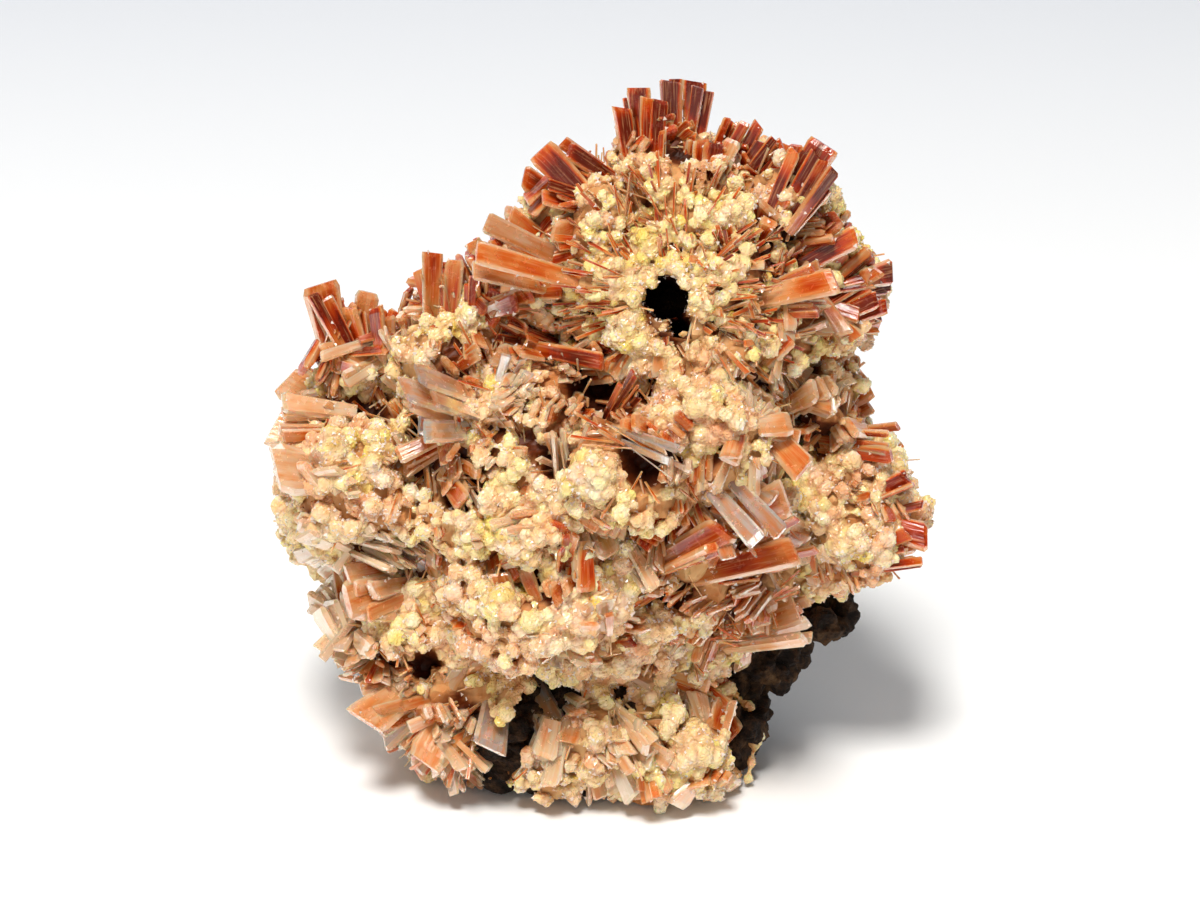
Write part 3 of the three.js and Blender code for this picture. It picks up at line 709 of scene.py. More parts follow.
# Knobbly rows of balls on the ridges all over the crust.
popcornSet = {"tries": 21000, "apart": 0.6, "from": -0.03, "growth": 0.8, "radius": (0.26, 0.68),
              "lowest": 1.2, "outOfFan": 10, "fanShare": 0.85, "above": (-0.1, 1.7), "root": 0.6}
place, normal, ridge = scatter(popcornSet["tries"])
chosen = apart(place, popcornSet["apart"])
place, normal, ridge = place[chosen], normal[chosen], ridge[chosen]
r, u = asSeen(place)
facing = normal @ towardEye
many = ridge + prevailingAt(place, normal) + rng.normal(0, 0.12, len(place))
keep = isOpen(place, normal) & (place[:, 2] > popcornSet["lowest"]) & (many > popcornSet["from"])
keep &= ~(inCavity(r, u) & (facing > 0.1))
inFan = (np.hypot(r - pit[0], u - pit[1]) < popcornSet["outOfFan"]) & (u > pit[1] - 1) & (facing > 0)
keep &= ~(inFan & (rng.random(len(place)) < popcornSet["fanShare"]))
patch = 0.36 + 0.28 * softNoise(place, 6.0, 21) + 0.24 * softNoise(place, 2.2, 22)
growth = 1 + popcornSet["growth"] * np.clip(prevailingAt(place, normal), 0, 0.4)
for q, n, tone, grown in zip(place[keep], normal[keep], patch[keep], growth[keep]):
    radius = rng.uniform(*popcornSet["radius"]) * grown
    balls.append((q + n * radius * rng.uniform(*popcornSet["above"]), radius, tone + rng.normal(0, 0.1),
                  q - n * popcornSet["root"]))
print("balls with popcorn", len(balls))

# How far fine things may reach: the box of the solids and a little more.
lowLimit = np.array(cadBox[0]) / mm - (0.7, 0.7, 1.5)
highLimit = np.array(cadBox[1]) / mm + (0.7, 0.7, 0.7)
finder = KDTree(len(balls))
for i, ball in enumerate(balls):
    finder.insert(ball[0], i)
finder.balance()


# One skin over a group of balls, without loose parts and what lies buried. Each point is marked with its ball's
# yellow, its distance from a crease and its height over the body, which set the painted shade and highlight.
skinSet = {"front": 0.2, "back": 0.36, "room": 1.3, "uneven": 0.16, "stretch": (0.85, 1.2), "rooted": 0.1,
           "buried": -0.2, "crease": 0.25, "sugar": 0.04, "grit": 0.13, "lumps": 0.1, "lowest": 0.1}


def ballSkin(name, group, voxel):
    sets = []
    for centre, radius, _, _ in group:
        room = radius * skinSet["room"]
        if (centre - room < lowLimit).any() or (centre + room > highLimit).any():
            continue
        uneven = 1 + skinSet["uneven"] * unevenness(smallPoints * 1.8, rng.uniform(0, 20))
        stretch = rng.uniform(*skinSet["stretch"], 3)
        sets.append((smallPoints * (radius * uneven)[:, None] * stretch + centre, smallFaces))
    points, faces = oneSkin(*gather(sets), voxel)
    height = np.zeros(len(points))
    for i, point in enumerate(points):
        place, normal, _, _ = bodyTree.find_nearest(point)
        height[i] = (point - place) @ normal
    part = partOf(len(points), faces)
    lowest = np.full(len(points), np.inf)
    np.minimum.at(lowest, part, height)
    shown = (points[:, 2] > 0.15) & (height > skinSet["buried"])
    faces = faces[lowest[part[faces[:, 0]]] < skinSet["rooted"]]
    points, faces, used = withoutHidden(points, faces, shown)
    height = height[used]
    marks = np.zeros((len(points), 3))
    for i, point in enumerate(points):
        near = sorted((found[2] - balls[found[1]][1], found[1]) for found in finder.find_n(point, 4))
        crease = min(1, (near[1][0] - near[0][0]) / skinSet["crease"])
        marks[i] = (balls[near[0][1]][2], crease, height[i])
    normals = vertexNormals(points, faces)
    grit = rng.normal(0, skinSet["sugar"], len(points)) + skinSet["grit"] * softNoise(points, 0.46, 31)
    grit += skinSet["lumps"] * softNoise(points, 0.9, 32)
    points = points + normals * grit[:, None]
    points[:, 2] = np.maximum(points[:, 2], skinSet["lowest"])
    print(name, len(faces) * 2)
    return meshFrom(name, points, faces, {"zone": marks}, ballMaterial, smooth=False)


def isFront(centre):
    return (centre - middle) @ towardEye > -3


def ballsIn(low, high):
    return [ball for ball in balls if isFront(ball[3]) and low <= ball[3][0] < high]


ballPieces = [
    ballSkin("balls_front_left", ballsIn(-99, -6), skinSet["front"]),
    ballSkin("balls_front_middle", ballsIn(-6, 7), skinSet["front"]),
    ballSkin("balls_front_right", ballsIn(7, 99), skinSet["front"]),
    ballSkin("balls_back", [ball for ball in balls if not isFront(ball[3])], skinSet["back"]),
]

# Sprays of blades: right and up of the root, of the tip, lean toward the eye in degrees, width, crystals across,
# roll, iron stain at the root and at the tip, and 1 where the crystals are clear.
sprays = [
    (3.7, 25.8, 3.6, 30, 5, 3.2, 5, 15, 0.8, 0.75, 0), (6.9, 25.8, 7.2, 30, 5, 3.2, 5, -10, 0.85, 0.75, 0),
    (-0.5, 21.3, -4.2, 23.2, 15, 4, 7, 30, 0.75, 0.8, 0), (9.6, 23, 11.4, 26.4, 10, 2.2, 4, -30, 0.6, 0.6, 0),
    (11.8, 22.2, 14.2, 25.4, 10, 2.4, 4, 20, 0.6, 0.7, 0), (15.2, 20.1, 17.2, 23.8, 10, 3.6, 6, -20, 0.8, 0.9, 0),
    (16.5, 15.7, 20, 18, 10, 3.4, 5, 10, 0.7, 0.8, 0), (18.6, 13.1, 21.8, 15.8, 5, 3, 5, 40, 0.6, 0.85, 0),
    (18.9, 10.5, 22.8, 12.2, 5, 2.6, 4, -30, 0.6, 0.8, 0), (14.1, 12.1, 18.2, 13.2, 30, 2.4, 4, 60, 0.3, 0.5, 0),
    (-4.3, 14.7, -9.2, 17.2, 20, 4.2, 7, 50, 0.5, 0.4, 0), (-6.6, 8.8, -6.8, 13, 25, 3.4, 6, 15, 0.7, 0.6, 0),
    (-3.2, 7.7, -8, 8.8, 40, 1.8, 3, 70, 0.4, 0.75, 0), (-20.6, 9.1, -22.2, 13, 5, 3.2, 5, 20, 0.6, 0.8, 0),
    (-18.4, 8.4, -19, 11.8, 10, 3.2, 4, -20, 0.4, 0.6, 0), (-12.3, 11, -12.8, 15.2, 10, 3, 6, 10, 0.5, 0.6, 0),
    (-11.2, 10.6, -11.8, 14.8, 15, 2, 4, -30, 0.5, 0.65, 0), (-7.9, 13.2, -9.6, 17, 10, 3, 5, 30, 0.5, 0.6, 0),
    (-10.8, 2.9, -14.8, 4.2, 55, 4.4, 4, 80, 0.15, 0.3, 1), (-18.2, 7.7, -22, 5.8, 30, 2.8, 4, 30, 0.2, 0.15, 0),
    (-21.8, 1.5, -26, 1.4, 10, 5, 6, 20, 0.2, 0.2, 0), (-13.8, -8.6, -16.8, -5.6, 30, 2.4, 4, 20, 0.1, 0.1, 1),
    (-15.5, -10.7, -19.6, -11.6, 45, 3.6, 4, 60, 0.3, 0.3, 0),
    (-19.9, -11.5, -19, -15.6, 10, 3.4, 5, 60, 0.3, 0.4, 0),
    (-15.1, -19.1, -19.2, -20, 15, 4.2, 6, 40, 0.45, 0.3, 0), (-11, -22.2, -14.6, -24.4, 10, 3.8, 6, 30, 0.4, 0.3, 0),
    (5.8, -8.8, 9.6, -6.4, 45, 2.8, 2, 75, 0.6, 0.55, 0), (11, -9.1, 15.6, -7.8, 40, 2.4, 3, 70, 0.55, 0.6, 0),
    (10.9, -6.7, 14.4, -4.4, 50, 3.2, 2, 80, 0.6, 0.5, 0), (10.5, -3.9, 12.8, -7.6, 50, 3.8, 3, 75, 0.1, 0.2, 1),
    (11.5, -13.9, 16.8, -12, 20, 5, 9, 50, 0.4, 0.25, 0), (19.8, 0.6, 24, 0.2, 20, 2.8, 4, 60, 0.45, 0.5, 0),
    (21.8, -4, 25.4, -2.4, 15, 2.8, 4, 60, 0.5, 0.55, 0), (22.2, -8.8, 26, -7.8, 15, 2.4, 4, 20, 0.6, 0.7, 0),
    (0.8, -21.7, 3.4, -25.4, 35, 2.8, 5, 30, 0.15, 0.15, 0), (7.4, -19.4, 10.4, -22.4, 35, 2.8, 2, 60, 0.5, 0.5, 0),
    (3.8, -24.8, 4.8, -28.2, 20, 1.8, 2, 20, 0.2, 0.3, 0),
    (0.6, 2.2, 2.8, 5.6, 45, 1.2, 3, 20, 0.8, 0.9, 0), (-3.5, -10.6, -3, -6.4, 50, 1.6, 3, 20, 0.5, 0.7, 0),
    (-7.6, 4.4, -6, 6.8, 50, 2, 3, 30, 0.1, 0.1, 1), (2.7, 0.6, 6.4, -1.4, 40, 1.6, 3, 60, 0.1, 0.1, 1),
]
# A blade is three rings of six points: its root, the foot of its chisel end and its tip.
bladeSection = np.array([(-1, 0), (-0.74, 1), (0.74, 1), (1, 0), (0.74, -1), (-0.74, -1)], float)
bladeFaces = [(ring + k, ring + (k + 1) % 6, ring + 6 + (k + 1) % 6, ring + 6 + k)
              for ring in (0, 6) for k in range(6)]
bladeFaces = np.array(bladeFaces + [(12, 13, 14, 15), (12, 15, 16, 17), (0, 3, 2, 1), (0, 5, 4, 3)])
bladeSet = {"slant": 0.45, "tip": (0.72, 1.0), "chisel": (0.06, 0.3), "chiselMost": 0.4, "peak": (0.35, 0.95),
            "root": (0.72, 0.8), "tipDeep": 0.55, "edge": 0.35, "shortest": 0.8, "lowest": 0.1, "tipFrom": 0.5,
            "rootFrom": 0.3}


# Blades as one set: each has a root, a direction, a side, a length, a width, a thickness and its stain. Points are
# marked with the stain and a tone, with their place in the blade in mm, and with how far across and along they lie.
def bladesFrom(root, along, side, length, width, thick, ironRoot, ironTip):
    n = len(root)
    along = unit(along)
    side = unit(side - along * (side * along).sum(1)[:, None])
    flat = np.cross(along, side)
    slant = rng.uniform(-bladeSet["slant"], bladeSet["slant"], n)
    tip = rng.uniform(*bladeSet["tip"], n)
    chisel = np.minimum(width * rng.uniform(*bladeSet["chisel"], n), length * bladeSet["chiselMost"])
    peak = rng.uniform(*bladeSet["peak"], n)
    points, zone, grain, spot = np.zeros((4, n, 18, 3))
    shift = rng.uniform(0, 50, (n, 3))
    tone = rng.random(n)
    rings = [(np.zeros(n), *bladeSet["root"]), (length - chisel, 1, 1), (length, tip, bladeSet["tipDeep"])]
    for ring, (height, wide, deep) in enumerate(rings):
        share = height / length
        for k, (sx, sy) in enumerate(bladeSection):
            x = sx * width * 0.5 * wide
            y = sy * thick * 0.5 * deep
            z = height + (slant * x if ring else 0)
            i = ring * 6 + k
            points[:, i] = root + side * x[:, None] + flat * y[:, None] + along * z[:, None]
            zone[:, i, 0] = ironRoot * (1 - share) + ironTip * share
            zone[:, i, 2] = tone
            grain[:, i] = np.stack([x, y, z], 1) + shift
            spot[:, i] = np.stack([np.full(n, sx), share, peak], 1)
    faces = bladeFaces[None] + (np.arange(n) * 18)[:, None, None]
    marks = {"zone": zone.reshape(-1, 3), "grain": grain.reshape(-1, 3), "spot": spot.reshape(-1, 3)}
    return points.reshape(-1, 3), faces.reshape(-1, 4), marks


# Rows of what bladesFrom takes.
stained, clear = [], []


# Blades from rows of values, shortened to the limits, without those that reach under the table.
def makeBlades(name, rows, material):
    columns = [np.array(column, float) for column in zip(*rows)]
    root, along, _, length, width = columns[:5]
    along = unit(along) + 1e-9
    edge = width[:, None] * bladeSet["edge"]
    room = np.where(along > 0, highLimit - edge - root, lowLimit + edge - root) / along
    length = columns[3] = np.minimum(length, room.min(1))
    ends = root + along * length[:, None]
    keep = (ends[:, 2] > bladeSet["tipFrom"]) & (root[:, 2] > bladeSet["rootFrom"]) & (length > bladeSet["shortest"])
    points, faces, marks = bladesFrom(*(column[keep] for column in columns))
    points[:, 2] = np.maximum(points[:, 2], bladeSet["lowest"])
    print(name, len(faces) * 2)
    return meshFrom(name, points, faces, marks, material, smooth=False)


spraySet = {"embed": 2.2, "sunk": 0.4, "spread": 0.3, "layers": 3, "share": 0.45, "iron": 0.2, "wide": 0.8,
            "layerGap": 0.2, "width": (0.6, 1.15), "thick": (0.3, 0.6), "clearThick": (0.14, 0.3), "outer": 0.2}


def turned(vector, axis, angle):
    return (vector * math.cos(angle) + np.cross(axis, vector) * math.sin(angle)
            + axis * (axis @ vector) * (1 - math.cos(angle)))


# Where a spray or plate starts inside the crust, its direction, its side and how far it stands out.
def standAt(r, u, tipR, tipU, lean, roll, embed, sunk):
    run = math.hypot(tipR - r, tipU - u)
    root, _ = frontHit(r, u)
    along = seenRight * (tipR - r) + seenUp * (tipU - u) + towardEye * run * math.tan(math.radians(lean))
    reach = np.linalg.norm(along)
    along = along / reach
    side = turned(unit(np.cross(along, towardEye)), along, math.radians(roll) * 0.5)
    return root - along * embed - towardEye * sunk, along, side, reach


for r, u, tipR, tipU, lean, width, count, roll, ironRoot, ironTip, isClear in sprays:
    root, along, side, reach = standAt(r, u, tipR, tipU, lean, roll, spraySet["embed"], spraySet["sunk"])
    flat = np.cross(along, side)
    count = max(2, round(count * spraySet["share"]))
    more = spraySet["iron"] * (ironTip >= 0.5)
    thickness = spraySet["clearThick" if isClear else "thick"]
    for layer in range(spraySet["layers"]):
        for i in range(count):
            place = (i + rng.uniform(0.1, 0.9)) / count - 0.5
            direction = unit(along + side * place * spraySet["spread"] + flat * rng.normal(0, 0.1)
                             + side * rng.normal(0, 0.06))
            start = (root + side * place * width * spraySet["wide"]
                     + flat * (layer - 1) * width * spraySet["layerGap"])
            across = width / count * rng.uniform(*spraySet["width"])
            (clear if isClear else stained).append((
                start, direction, turned(side, direction, rng.normal(0, 0.5)), spraySet["embed"]
                + reach * (1 - abs(place) * spraySet["outer"] - rng.random() * (0.2 + 0.15 * layer)),
                across, across * rng.uniform(*thickness),
                ironRoot + rng.normal(0, 0.08) + more, ironTip + rng.normal(0, 0.1) + more))

# Single broad plates: right and up of the root and of the tip, lean toward the eye, width, roll, iron stain at the
# root and at the tip, and 1 where the plate is clear.
plates = [
    (4, -9.6, 9.6, -6.4, 35, 2.6, 15, 0.5, 0.62, 0), (8, -10, 15.2, -8, 30, 2.4, -20, 0.6, 0.66, 0),
    (9.6, -6.5, 14.5, -3.8, 40, 3, 15, 0.55, 0.5, 0), (8.5, -2.6, 12.4, -7.2, 35, 1.7, -15, 0, 0.05, 1),
    (10.4, -2.2, 14.2, -6.4, 30, 1.5, 20, 0, 0.2, 1),
    (-3.5, -10.5, -3, -6, 45, 2.2, -20, 0.55, 0.6, 0), (-7.6, 7.5, -7.4, 12.8, 20, 3.2, -20, 0.9, 0.95, 0),
    (-8.4, 8.8, 0, 7, 30, 1.5, 30, 0.7, 0.8, 0), (-21.6, 8.8, -22.4, 13.2, 12, 3, 15, 0.7, 0.9, 0),
    (-22.2, 5.4, -17.6, 8.2, 25, 3.4, -20, 0.2, 0.15, 0), (-19.2, 9, -18.6, 12.6, 15, 2, -20, 0.3, 0.35, 0),
    (-1, 13.4, -9.4, 15.6, 22, 1.9, 15, 0.3, 0.62, 0), (-1.4, 14.6, -8.8, 18, 18, 1.7, -20, 0.35, 0.25, 0),
    (-2.4, 12.6, -9.8, 14.2, 26, 1.5, 25, 0.35, 0.3, 0), (-3, 15.8, -7.2, 18.4, 24, 1.4, 40, 0.25, 0.2, 0),
    (-13.4, -9.8, -17, -5.2, 30, 2.4, -20, 0.05, 0.1, 1), (-15.4, -10.4, -20, -12, 40, 3.8, 15, 0.4, 0.3, 0),
    (-20.4, -9.6, -19.4, -16.6, 12, 3.8, 15, 0.15, 0.5, 0), (12, 12, 18.4, 13.4, 25, 2.2, -20, 0.5, 0.4, 0),
    (8.2, -19.4, 10.6, -23, 30, 2.6, -20, 0.5, 0.5, 0), (-8.6, 7.6, -8.4, 12.6, 30, 1.7, -35, 0.85, 0.9, 0),
    (-5.6, 8, -5.2, 12.6, 25, 1.7, -35, 0.85, 0.85, 0), (-13.6, 9.5, -13.4, 15.6, 12, 1.7, 30, 0.6, 0.55, 0),
    (-12.2, 9, -11.6, 15, 16, 1.6, -35, 0.5, 0.6, 0), (-1.2, 20.4, -4.6, 23.8, 18, 2.4, -20, 0.9, 1, 0),
    (-2.4, 19.6, -6, 21.8, 18, 2, 30, 0.9, 0.9, 0), (14.8, 19.4, 17.8, 24.2, 14, 2.6, -20, 0.9, 1, 0),
    (-11, 2.6, -14.8, 4.4, 45, 2.6, 15, 0.4, 0.2, 0),
    (-10.6, 1.2, -14.2, 2.2, 40, 2, 30, 0.05, 0.1, 1), (-15, -18.8, -18.8, -21.6, 25, 3.4, 15, 0.35, 0.3, 0),
    (-12, -21, -14, -25, 25, 3.4, 15, 0.25, 0.3, 0), (-8.2, -19.6, -8.8, -23.8, 30, 2.8, -20, 0.1, 0.2, 1),
    (-5.4, -19, -3.6, -22.6, 35, 2.8, -20, 0.1, 0.15, 1), (-22.4, 1.6, -26, 2.2, 15, 4, 15, 0.1, 0.1, 0),
    (-22.4, -2, -25.9, -1.4, 20, 4, 15, 0.15, 0.1, 0), (-22.2, 4, -25.2, 5.6, 15, 3.2, 15, 0.15, 0.15, 0),
    (3.4, 25, 3.2, 29.6, 8, 1.9, -20, 0.9, 0.85, 0), (7.4, 25, 7.6, 29.4, 8, 1.9, -20, 0.95, 0.9, 0),
    (12, 6, 14.8, 9, 35, 2, -20, 0.45, 0.5, 0), (14.6, 1.4, 17, -1.4, 35, 2.4, -20, 0.4, 0.4, 0),
    (10.4, -14.6, 15.6, -12.6, 30, 2.6, -20, 0.35, 0.4, 0), (22.4, -6, 26.2, -7, 12, 2.4, -20, 0.6, 0.7, 0),
]
plateSet = {"embed": 0.8, "sunk": 0.9, "thick": (0.18, 0.36)}
for r, u, tipR, tipU, lean, width, roll, ironRoot, ironTip, isClear in plates:
    root, along, side, reach = standAt(r, u, tipR, tipU, lean, roll, plateSet["embed"], plateSet["sunk"])
    (clear if isClear else stained).append((
        root, along, side, plateSet["embed"] + reach, width, width * rng.uniform(*plateSet["thick"]),
        ironRoot, ironTip))
print("spray blades", len(stained), len(clear))

# Needles that run outward over the surface: right and up of the middle of a fan, nearest and farthest, the first and
# last angle, needles, width, iron stain.
fans = [
    (5.4, 12, 3.4, 10, -30, 205, 190, 0.22, 0.6), (9, -15, 0.5, 7, -15, 45, 50, 0.24, 0.45),
    (-9.5, -20, 1, 7, 185, 265, 46, 0.26, 0.4), (1, -19.4, 0.5, 6, 250, 325, 30, 0.2, 0.12),
    (-8, 4, 1, 5, 60, 200, 30, 0.2, 0.5), (-14.4, 0.8, 1.5, 6, 0, 360, 24, 0.22, 0.4),
    (3.8, -0.6, 1.5, 6, 0, 360, 18, 0.22, 0.45), (8, 10, 2.2, 7, -60, 30, 34, 0.3, 0.4),
    (-8.2, 3.4, 0.3, 2.6, 20, 60, 16, 0.24, 0),
]
fanNeedleSet = {"length": (1.8, 4.2), "lift": (0.1, 0.6), "above": (0, 0.9), "buried": 0.4, "width": (0.6, 1.6),
                "thick": (0.4, 0.8)}
for r, u, near, far, first, last, count, width, ironOf in fans:
    for i in range(count):
        angle = math.radians(rng.uniform(first, last))
        out = rng.uniform(near, far)
        place, normal = frontHit(r + math.cos(angle) * out, u + math.sin(angle) * out)
        away = seenRight * math.cos(angle) + seenUp * math.sin(angle)
        away = away - normal * (away @ normal) + normal * rng.uniform(*fanNeedleSet["lift"])
        away = unit(away + rng.normal(0, 0.08, 3))
        length = rng.uniform(*fanNeedleSet["length"])
        root = place - away * length * fanNeedleSet["buried"] + normal * rng.uniform(*fanNeedleSet["above"])
        stained.append((root, away, np.cross(away, normal), length, width * rng.uniform(*fanNeedleSet["width"]),
                        width * rng.uniform(*fanNeedleSet["thick"]), ironOf + 0.1, ironOf + rng.normal(0, 0.12)))

# Redder and paler places: right, up, radius and how much iron more.
stains = [
    (-9, 12, 5, 0.2), (3, 3, 4, 0.22), (9, -8, 5, 0.2), (-21, 10, 3, 0.3), (-4, -8, 2, 0.2),
    (23, -8, 4, 0.2), (-25, -2, 7, -0.4), (-20, -12, 6, -0.3), (-12, -22, 6, -0.25),
    (2, -22, 4, -0.2), (-14, 3, 4, -0.1), (12, -4, 3, -0.2), (9, 5, 4, -0.1),
]

# Fill: small books of plates all over, leaning away from the nearest of many centres of growth.
fillSet = {"books": 3100, "centres": 46, "seenNearer": 0.6, "plates": (1, 4), "length": (0.7, 2.6),
           "width": (0.6, 2.2), "thick": (0.16, 0.4), "lean": 1.5, "roll": 1.3, "buried": 1.4, "onRidges": 0.25,
           "sheaf": 2.6, "pitClear": 2.9, "lowest": 1, "iron": 0.3, "rimIron": 0.4, "fan": 9, "fanWidth": 0.4,
           "fanLength": 0.7}
centres = scatter(fillSet["centres"])[0]
seenCentres = [pit, (-14.4, 0.8), (-2.0, -18.0), (14.0, -10.0), (-20.0, -8.0), (12.0, 2.0)]
centres = np.concatenate([centres, [frontHit(*row)[0] for row in seenCentres]])
place, normal, ridge = scatter(fillSet["books"])
r, u = asSeen(place)
fromPit = np.hypot(r - pit[0], u - pit[1])
keep = isOpen(place, normal) & (place[:, 2] > fillSet["lowest"]) & (fromPit > fillSet["pitClear"])
keep &= (ridge + prevailingAt(place, normal) < 0.05) | (rng.random(len(place)) < fillSet["onRidges"])
place, normal, ridge, r, u, fromPit = (column[keep] for column in (place, normal, ridge, r, u, fromPit))
gap = place[:, None] - centres[None]
distance = np.linalg.norm(gap, axis=2)
distance[:, -len(seenCentres):] *= fillSet["seenNearer"]
away = gap[np.arange(len(place)), distance.argmin(1)]
away = unit(away - normal * (away * normal).sum(1)[:, None])
redness = fillSet["iron"] + 0.28 * softNoise(place, 5.0, 41) + 0.34 * softNoise(place, 2.0, 42)
redness += np.clip((u - (17 - 0.5 * np.abs(r - 6))) / 8, 0, fillSet["rimIron"])  # toward the top rim
for stainR, stainU, radius, amount in stains:
    redness += amount * np.clip(1.5 - np.hypot(r - stainR, u - stainU) / radius, 0, 1)
leaning = fillSet["lean"] * (1 + softNoise(place, fillSet["sheaf"], 43))
rolling = fillSet["roll"] * softNoise(place, fillSet["sheaf"], 44)
inFan = (fromPit < fillSet["fan"]) & (u > pit[1] - 3) & (normal @ towardEye > 0)
for q, n, out, red, high, lean, roll, fan in zip(place, normal, away, redness, ridge, leaning, rolling, inFan):
    main = unit(n + out * lean + rng.normal(0, 0.13, 3))
    side = turned(unit(np.cross(main, out + rng.normal(0, 0.1, 3))), main, roll + rng.normal(0, 0.2))
    flat = np.cross(main, side)
    width = rng.uniform(*fillSet["width"])
    shown = rng.uniform(*fillSet["length"]) + np.clip(0.1 - high, 0, 0.9) * 1.2  # longer in the valleys
    shown *= 0.6 + 0.4 * min(1, abs(n @ towardEye) * 2)
    if fan:
        width, shown = width * fillSet["fanWidth"], shown * fillSet["fanLength"]
    for k in range(rng.integers(*fillSet["plates"])):
        thick = width * rng.uniform(*fillSet["thick"])
        stained.append((
            q - main * fillSet["buried"] + flat * k * thick * 1.2 + side * rng.normal(0, 0.15),
            unit(main + rng.normal(0, 0.06, 3)), side, shown * rng.uniform(0.6, 1.1) + fillSet["buried"],
            width * rng.uniform(0.6, 1.1), thick, red + 0.15, red + rng.normal(0, 0.12)))

# Fine needles in the valleys and at the feet of the clusters, in tufts that share their direction.
needleSet = {"count": 1500, "length": (0.9, 2.8), "width": (0.1, 0.26), "thick": (0.5, 1), "lean": 1.3,
             "buried": 0.6, "below": 0.25, "lowest": 1, "iron": 0.28}
place, normal, ridge = scatter(needleSet["count"] * 2)
keep = isOpen(place, normal) & (place[:, 2] > needleSet["lowest"]) & (ridge < needleSet["below"])
place, normal = place[keep][:needleSet["count"]], normal[keep][:needleSet["count"]]
drift = np.stack([softNoise(place, 2.2, seed) for seed in (45, 46, 47)], 1)
main = unit(normal + needleSet["lean"] * drift * 2 + rng.normal(0, 0.15, place.shape))
rust = needleSet["iron"] + 0.3 * softNoise(place, 3.0, 48)
for q, out, red in zip(place, main, rust):
    width = rng.uniform(*needleSet["width"])
    stained.append((
        q - out * needleSet["buried"], out, rng.normal(0, 1, 3),
        rng.uniform(*needleSet["length"]) + needleSet["buried"], width, width * rng.uniform(*needleSet["thick"]),
        red + 0.1, red + rng.normal(0, 0.1)))
bladePiece = makeBlades("stained_blades", stained, bladeMaterial)
clearPiece = makeBlades("clear_blades", clear, clearMaterial)

# Sugary grains over blades, balls and ground.
sugarSet = {"size": (0.07, 0.2), "onBlades": 14000, "onGround": 5000, "onBalls": 6000, "patches": 3.0,
            "shareFrom": -0.05, "lowest": 0.5, "tone": 0.35, "corner": 0.7}
grain = np.array([(1, 1, 1), (-1, -1, 1), (-1, 1, -1), (1, -1, -1)], float) * sugarSet["corner"]
grainFaces = np.array([(0, 2, 1), (0, 1, 3), (0, 3, 2), (1, 2, 3)])


def surfaceSamples(piece, count):
    points, squares = pointsOf(piece.data), squaresOf(piece.data)
    a, b, d = (points[squares[:, i]] for i in (0, 1, 3))
    chosen, s, t = randomSpots(np.linalg.norm(np.cross(b - a, d - a), axis=1), count)
    return a[chosen] + (b[chosen] - a[chosen]) * s + (d[chosen] - a[chosen]) * t


sources = [(bladePiece, sugarSet["onBlades"]), (ground, sugarSet["onGround"])]
sources += [(piece, sugarSet["onBalls"]) for piece in ballPieces[:3]]
places = np.concatenate([surfaceSamples(piece, count) for piece, count in sources])
cloud = softNoise(places, sugarSet["patches"], 51) + rng.normal(0, 0.3, len(places))
places = places[(cloud > sugarSet["shareFrom"]) & (places[:, 2] > sugarSet["lowest"])]
n = len(places)
size = rng.uniform(*sugarSet["size"], n)
basis = unit(rng.normal(0, 1, (n, 3)))
second = unit(np.cross(basis, rng.normal(0, 1, (n, 3))))
third = np.cross(basis, second)
grains = (grain[None, :, 0, None] * basis[:, None] + grain[None, :, 1, None] * second[:, None]
          + grain[None, :, 2, None] * third[:, None]) * size[:, None, None] + places[:, None]
sugarFaces = grainFaces[None] + (np.arange(n) * 4)[:, None, None]
tones = np.repeat(np.clip(sugarSet["tone"] + 0.3 * softNoise(places, 4, 52) + rng.normal(0, 0.2, n), 0, 1), 4)
sugarPiece = meshFrom("sugary_grains", grains.reshape(-1, 3), sugarFaces.reshape(-1, 3),
                      {"zone": np.stack([tones] * 3, 1)}, sugarMaterial, smooth=False)
print("sugar", n * 4)

for piece in (ground, *ballPieces, bladePiece, clearPiece, sugarPiece):
    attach(piece, "root")
    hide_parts("crystal_crust")
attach(rock, "root")
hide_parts("matrix")

# The table runs up behind as one pale sweep of matte paper, with painted shade that greys it toward the back. Sizes
# are in metres.
stageSet = {"colours": [(0.0, "#FBFDFF"), (1.0, "#DEE3EC")], "paperShadeFrom": 0.06, "paperShadeTo": 0.26, "width": 1.6,
            "front": -0.6, "bend": 0.5, "radius": 0.35, "high": 1.1}
profile = [(stageSet["front"], 0.0)]
for i in range(13):
    turn = math.pi / 2 * i / 12
    profile.append((stageSet["bend"] + stageSet["radius"] * math.sin(turn),
                    stageSet["radius"] * (1 - math.cos(turn))))
profile.append((stageSet["bend"] + stageSet["radius"], stageSet["high"]))
sweepPoints = np.array([(x, y, z) for y, z in profile for x in (-stageSet["width"], stageSet["width"])]) / mm
sweepFaces = np.array([(2 * i, 2 * i + 1, 2 * i + 3, 2 * i + 2) for i in range(len(profile) - 1)])
paper, add = newMaterial("matteWhitePaper")
place = add("TexCoord")
parts = add("SeparateXYZ", {0: place.outputs["Object"]})
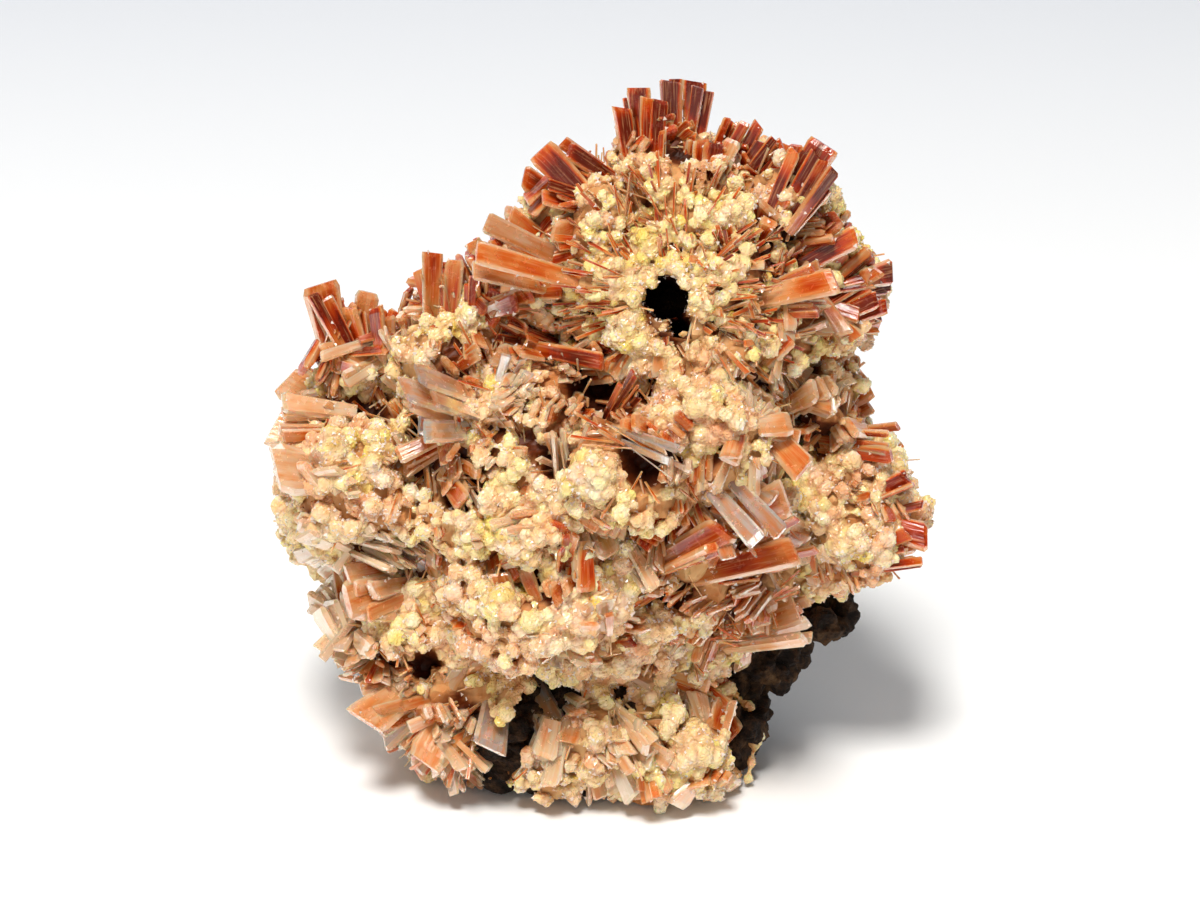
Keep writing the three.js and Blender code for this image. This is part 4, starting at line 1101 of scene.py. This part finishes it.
# Painted shade: the paper colour greys toward the back, where less light reaches.
back = add("MapRange", {0: parts.outputs[1], 1: stageSet["paperShadeFrom"], 2: stageSet["paperShadeTo"]})
colour = add("ValToRGB", {0: back})
setRamp(colour, stageSet["colours"])
surface = add("BsdfPrincipled", {"Base Color": colour, "Roughness": 0.9, "Specular IOR Level": 0.1})
add("OutputMaterial", {"Surface": surface})
sweep = meshFrom("sweep", sweepPoints, sweepFaces, {}, paper)

# Light: a small strong source high in front makes the glints and the shadow, a broad weak one comes from the lower
# left and another from behind, and the room is pale.
lights = {
    "key": {"at": (-0.08, -0.32, 0.76), "size": 0.2, "power": 6.9, "colour": (1.0, 0.965, 0.91)},
    "fill": {"at": (-0.3, -0.7, 0.3), "size": 0.5, "power": 0.85, "colour": (1.0, 0.97, 0.92)},
    "back": {"at": (-0.1, 0.42, 0.6), "size": 0.5, "power": 1.0, "colour": (1.0, 1.0, 1.0)},
}
lampAim = Vector((0, 0, 0.025))
for name, values in lights.items():
    lamp = bpy.data.lights.new(name, "AREA")
    lamp.size = values["size"]
    lamp.energy = values["power"]
    lamp.color = values["colour"]
    holder = bpy.data.objects.new(name, lamp)
    holder.location = values["at"]
    holder.rotation_euler = (lampAim - holder.location).to_track_quat("-Z", "Y").to_euler()
    bpy.context.scene.collection.objects.link(holder)
roomSet = {"colour": (1.0, 0.985, 0.96, 1), "strength": 0.15}
world = bpy.data.worlds.new("paleRoom")
world.use_nodes = True
background = world.node_tree.nodes["Background"]
background.inputs["Color"].default_value = roomSet["colour"]
background.inputs["Strength"].default_value = roomSet["strength"]
bpy.context.scene.world = world
bpy.context.scene.view_settings.view_transform = "Standard"

camera = bpy.data.cameras.new("camera")
camera.lens = 100
camera.sensor_width = 36
holder = bpy.data.objects.new("camera", camera)
holder.location = eye * mm
holder.rotation_euler = (Vector(middle * mm) - holder.location).to_track_quat("-Z", "Y").to_euler()
bpy.context.scene.collection.objects.link(holder)
bpy.context.scene.camera = holder
camera.clip_start = 0.01
camera.clip_end = 10
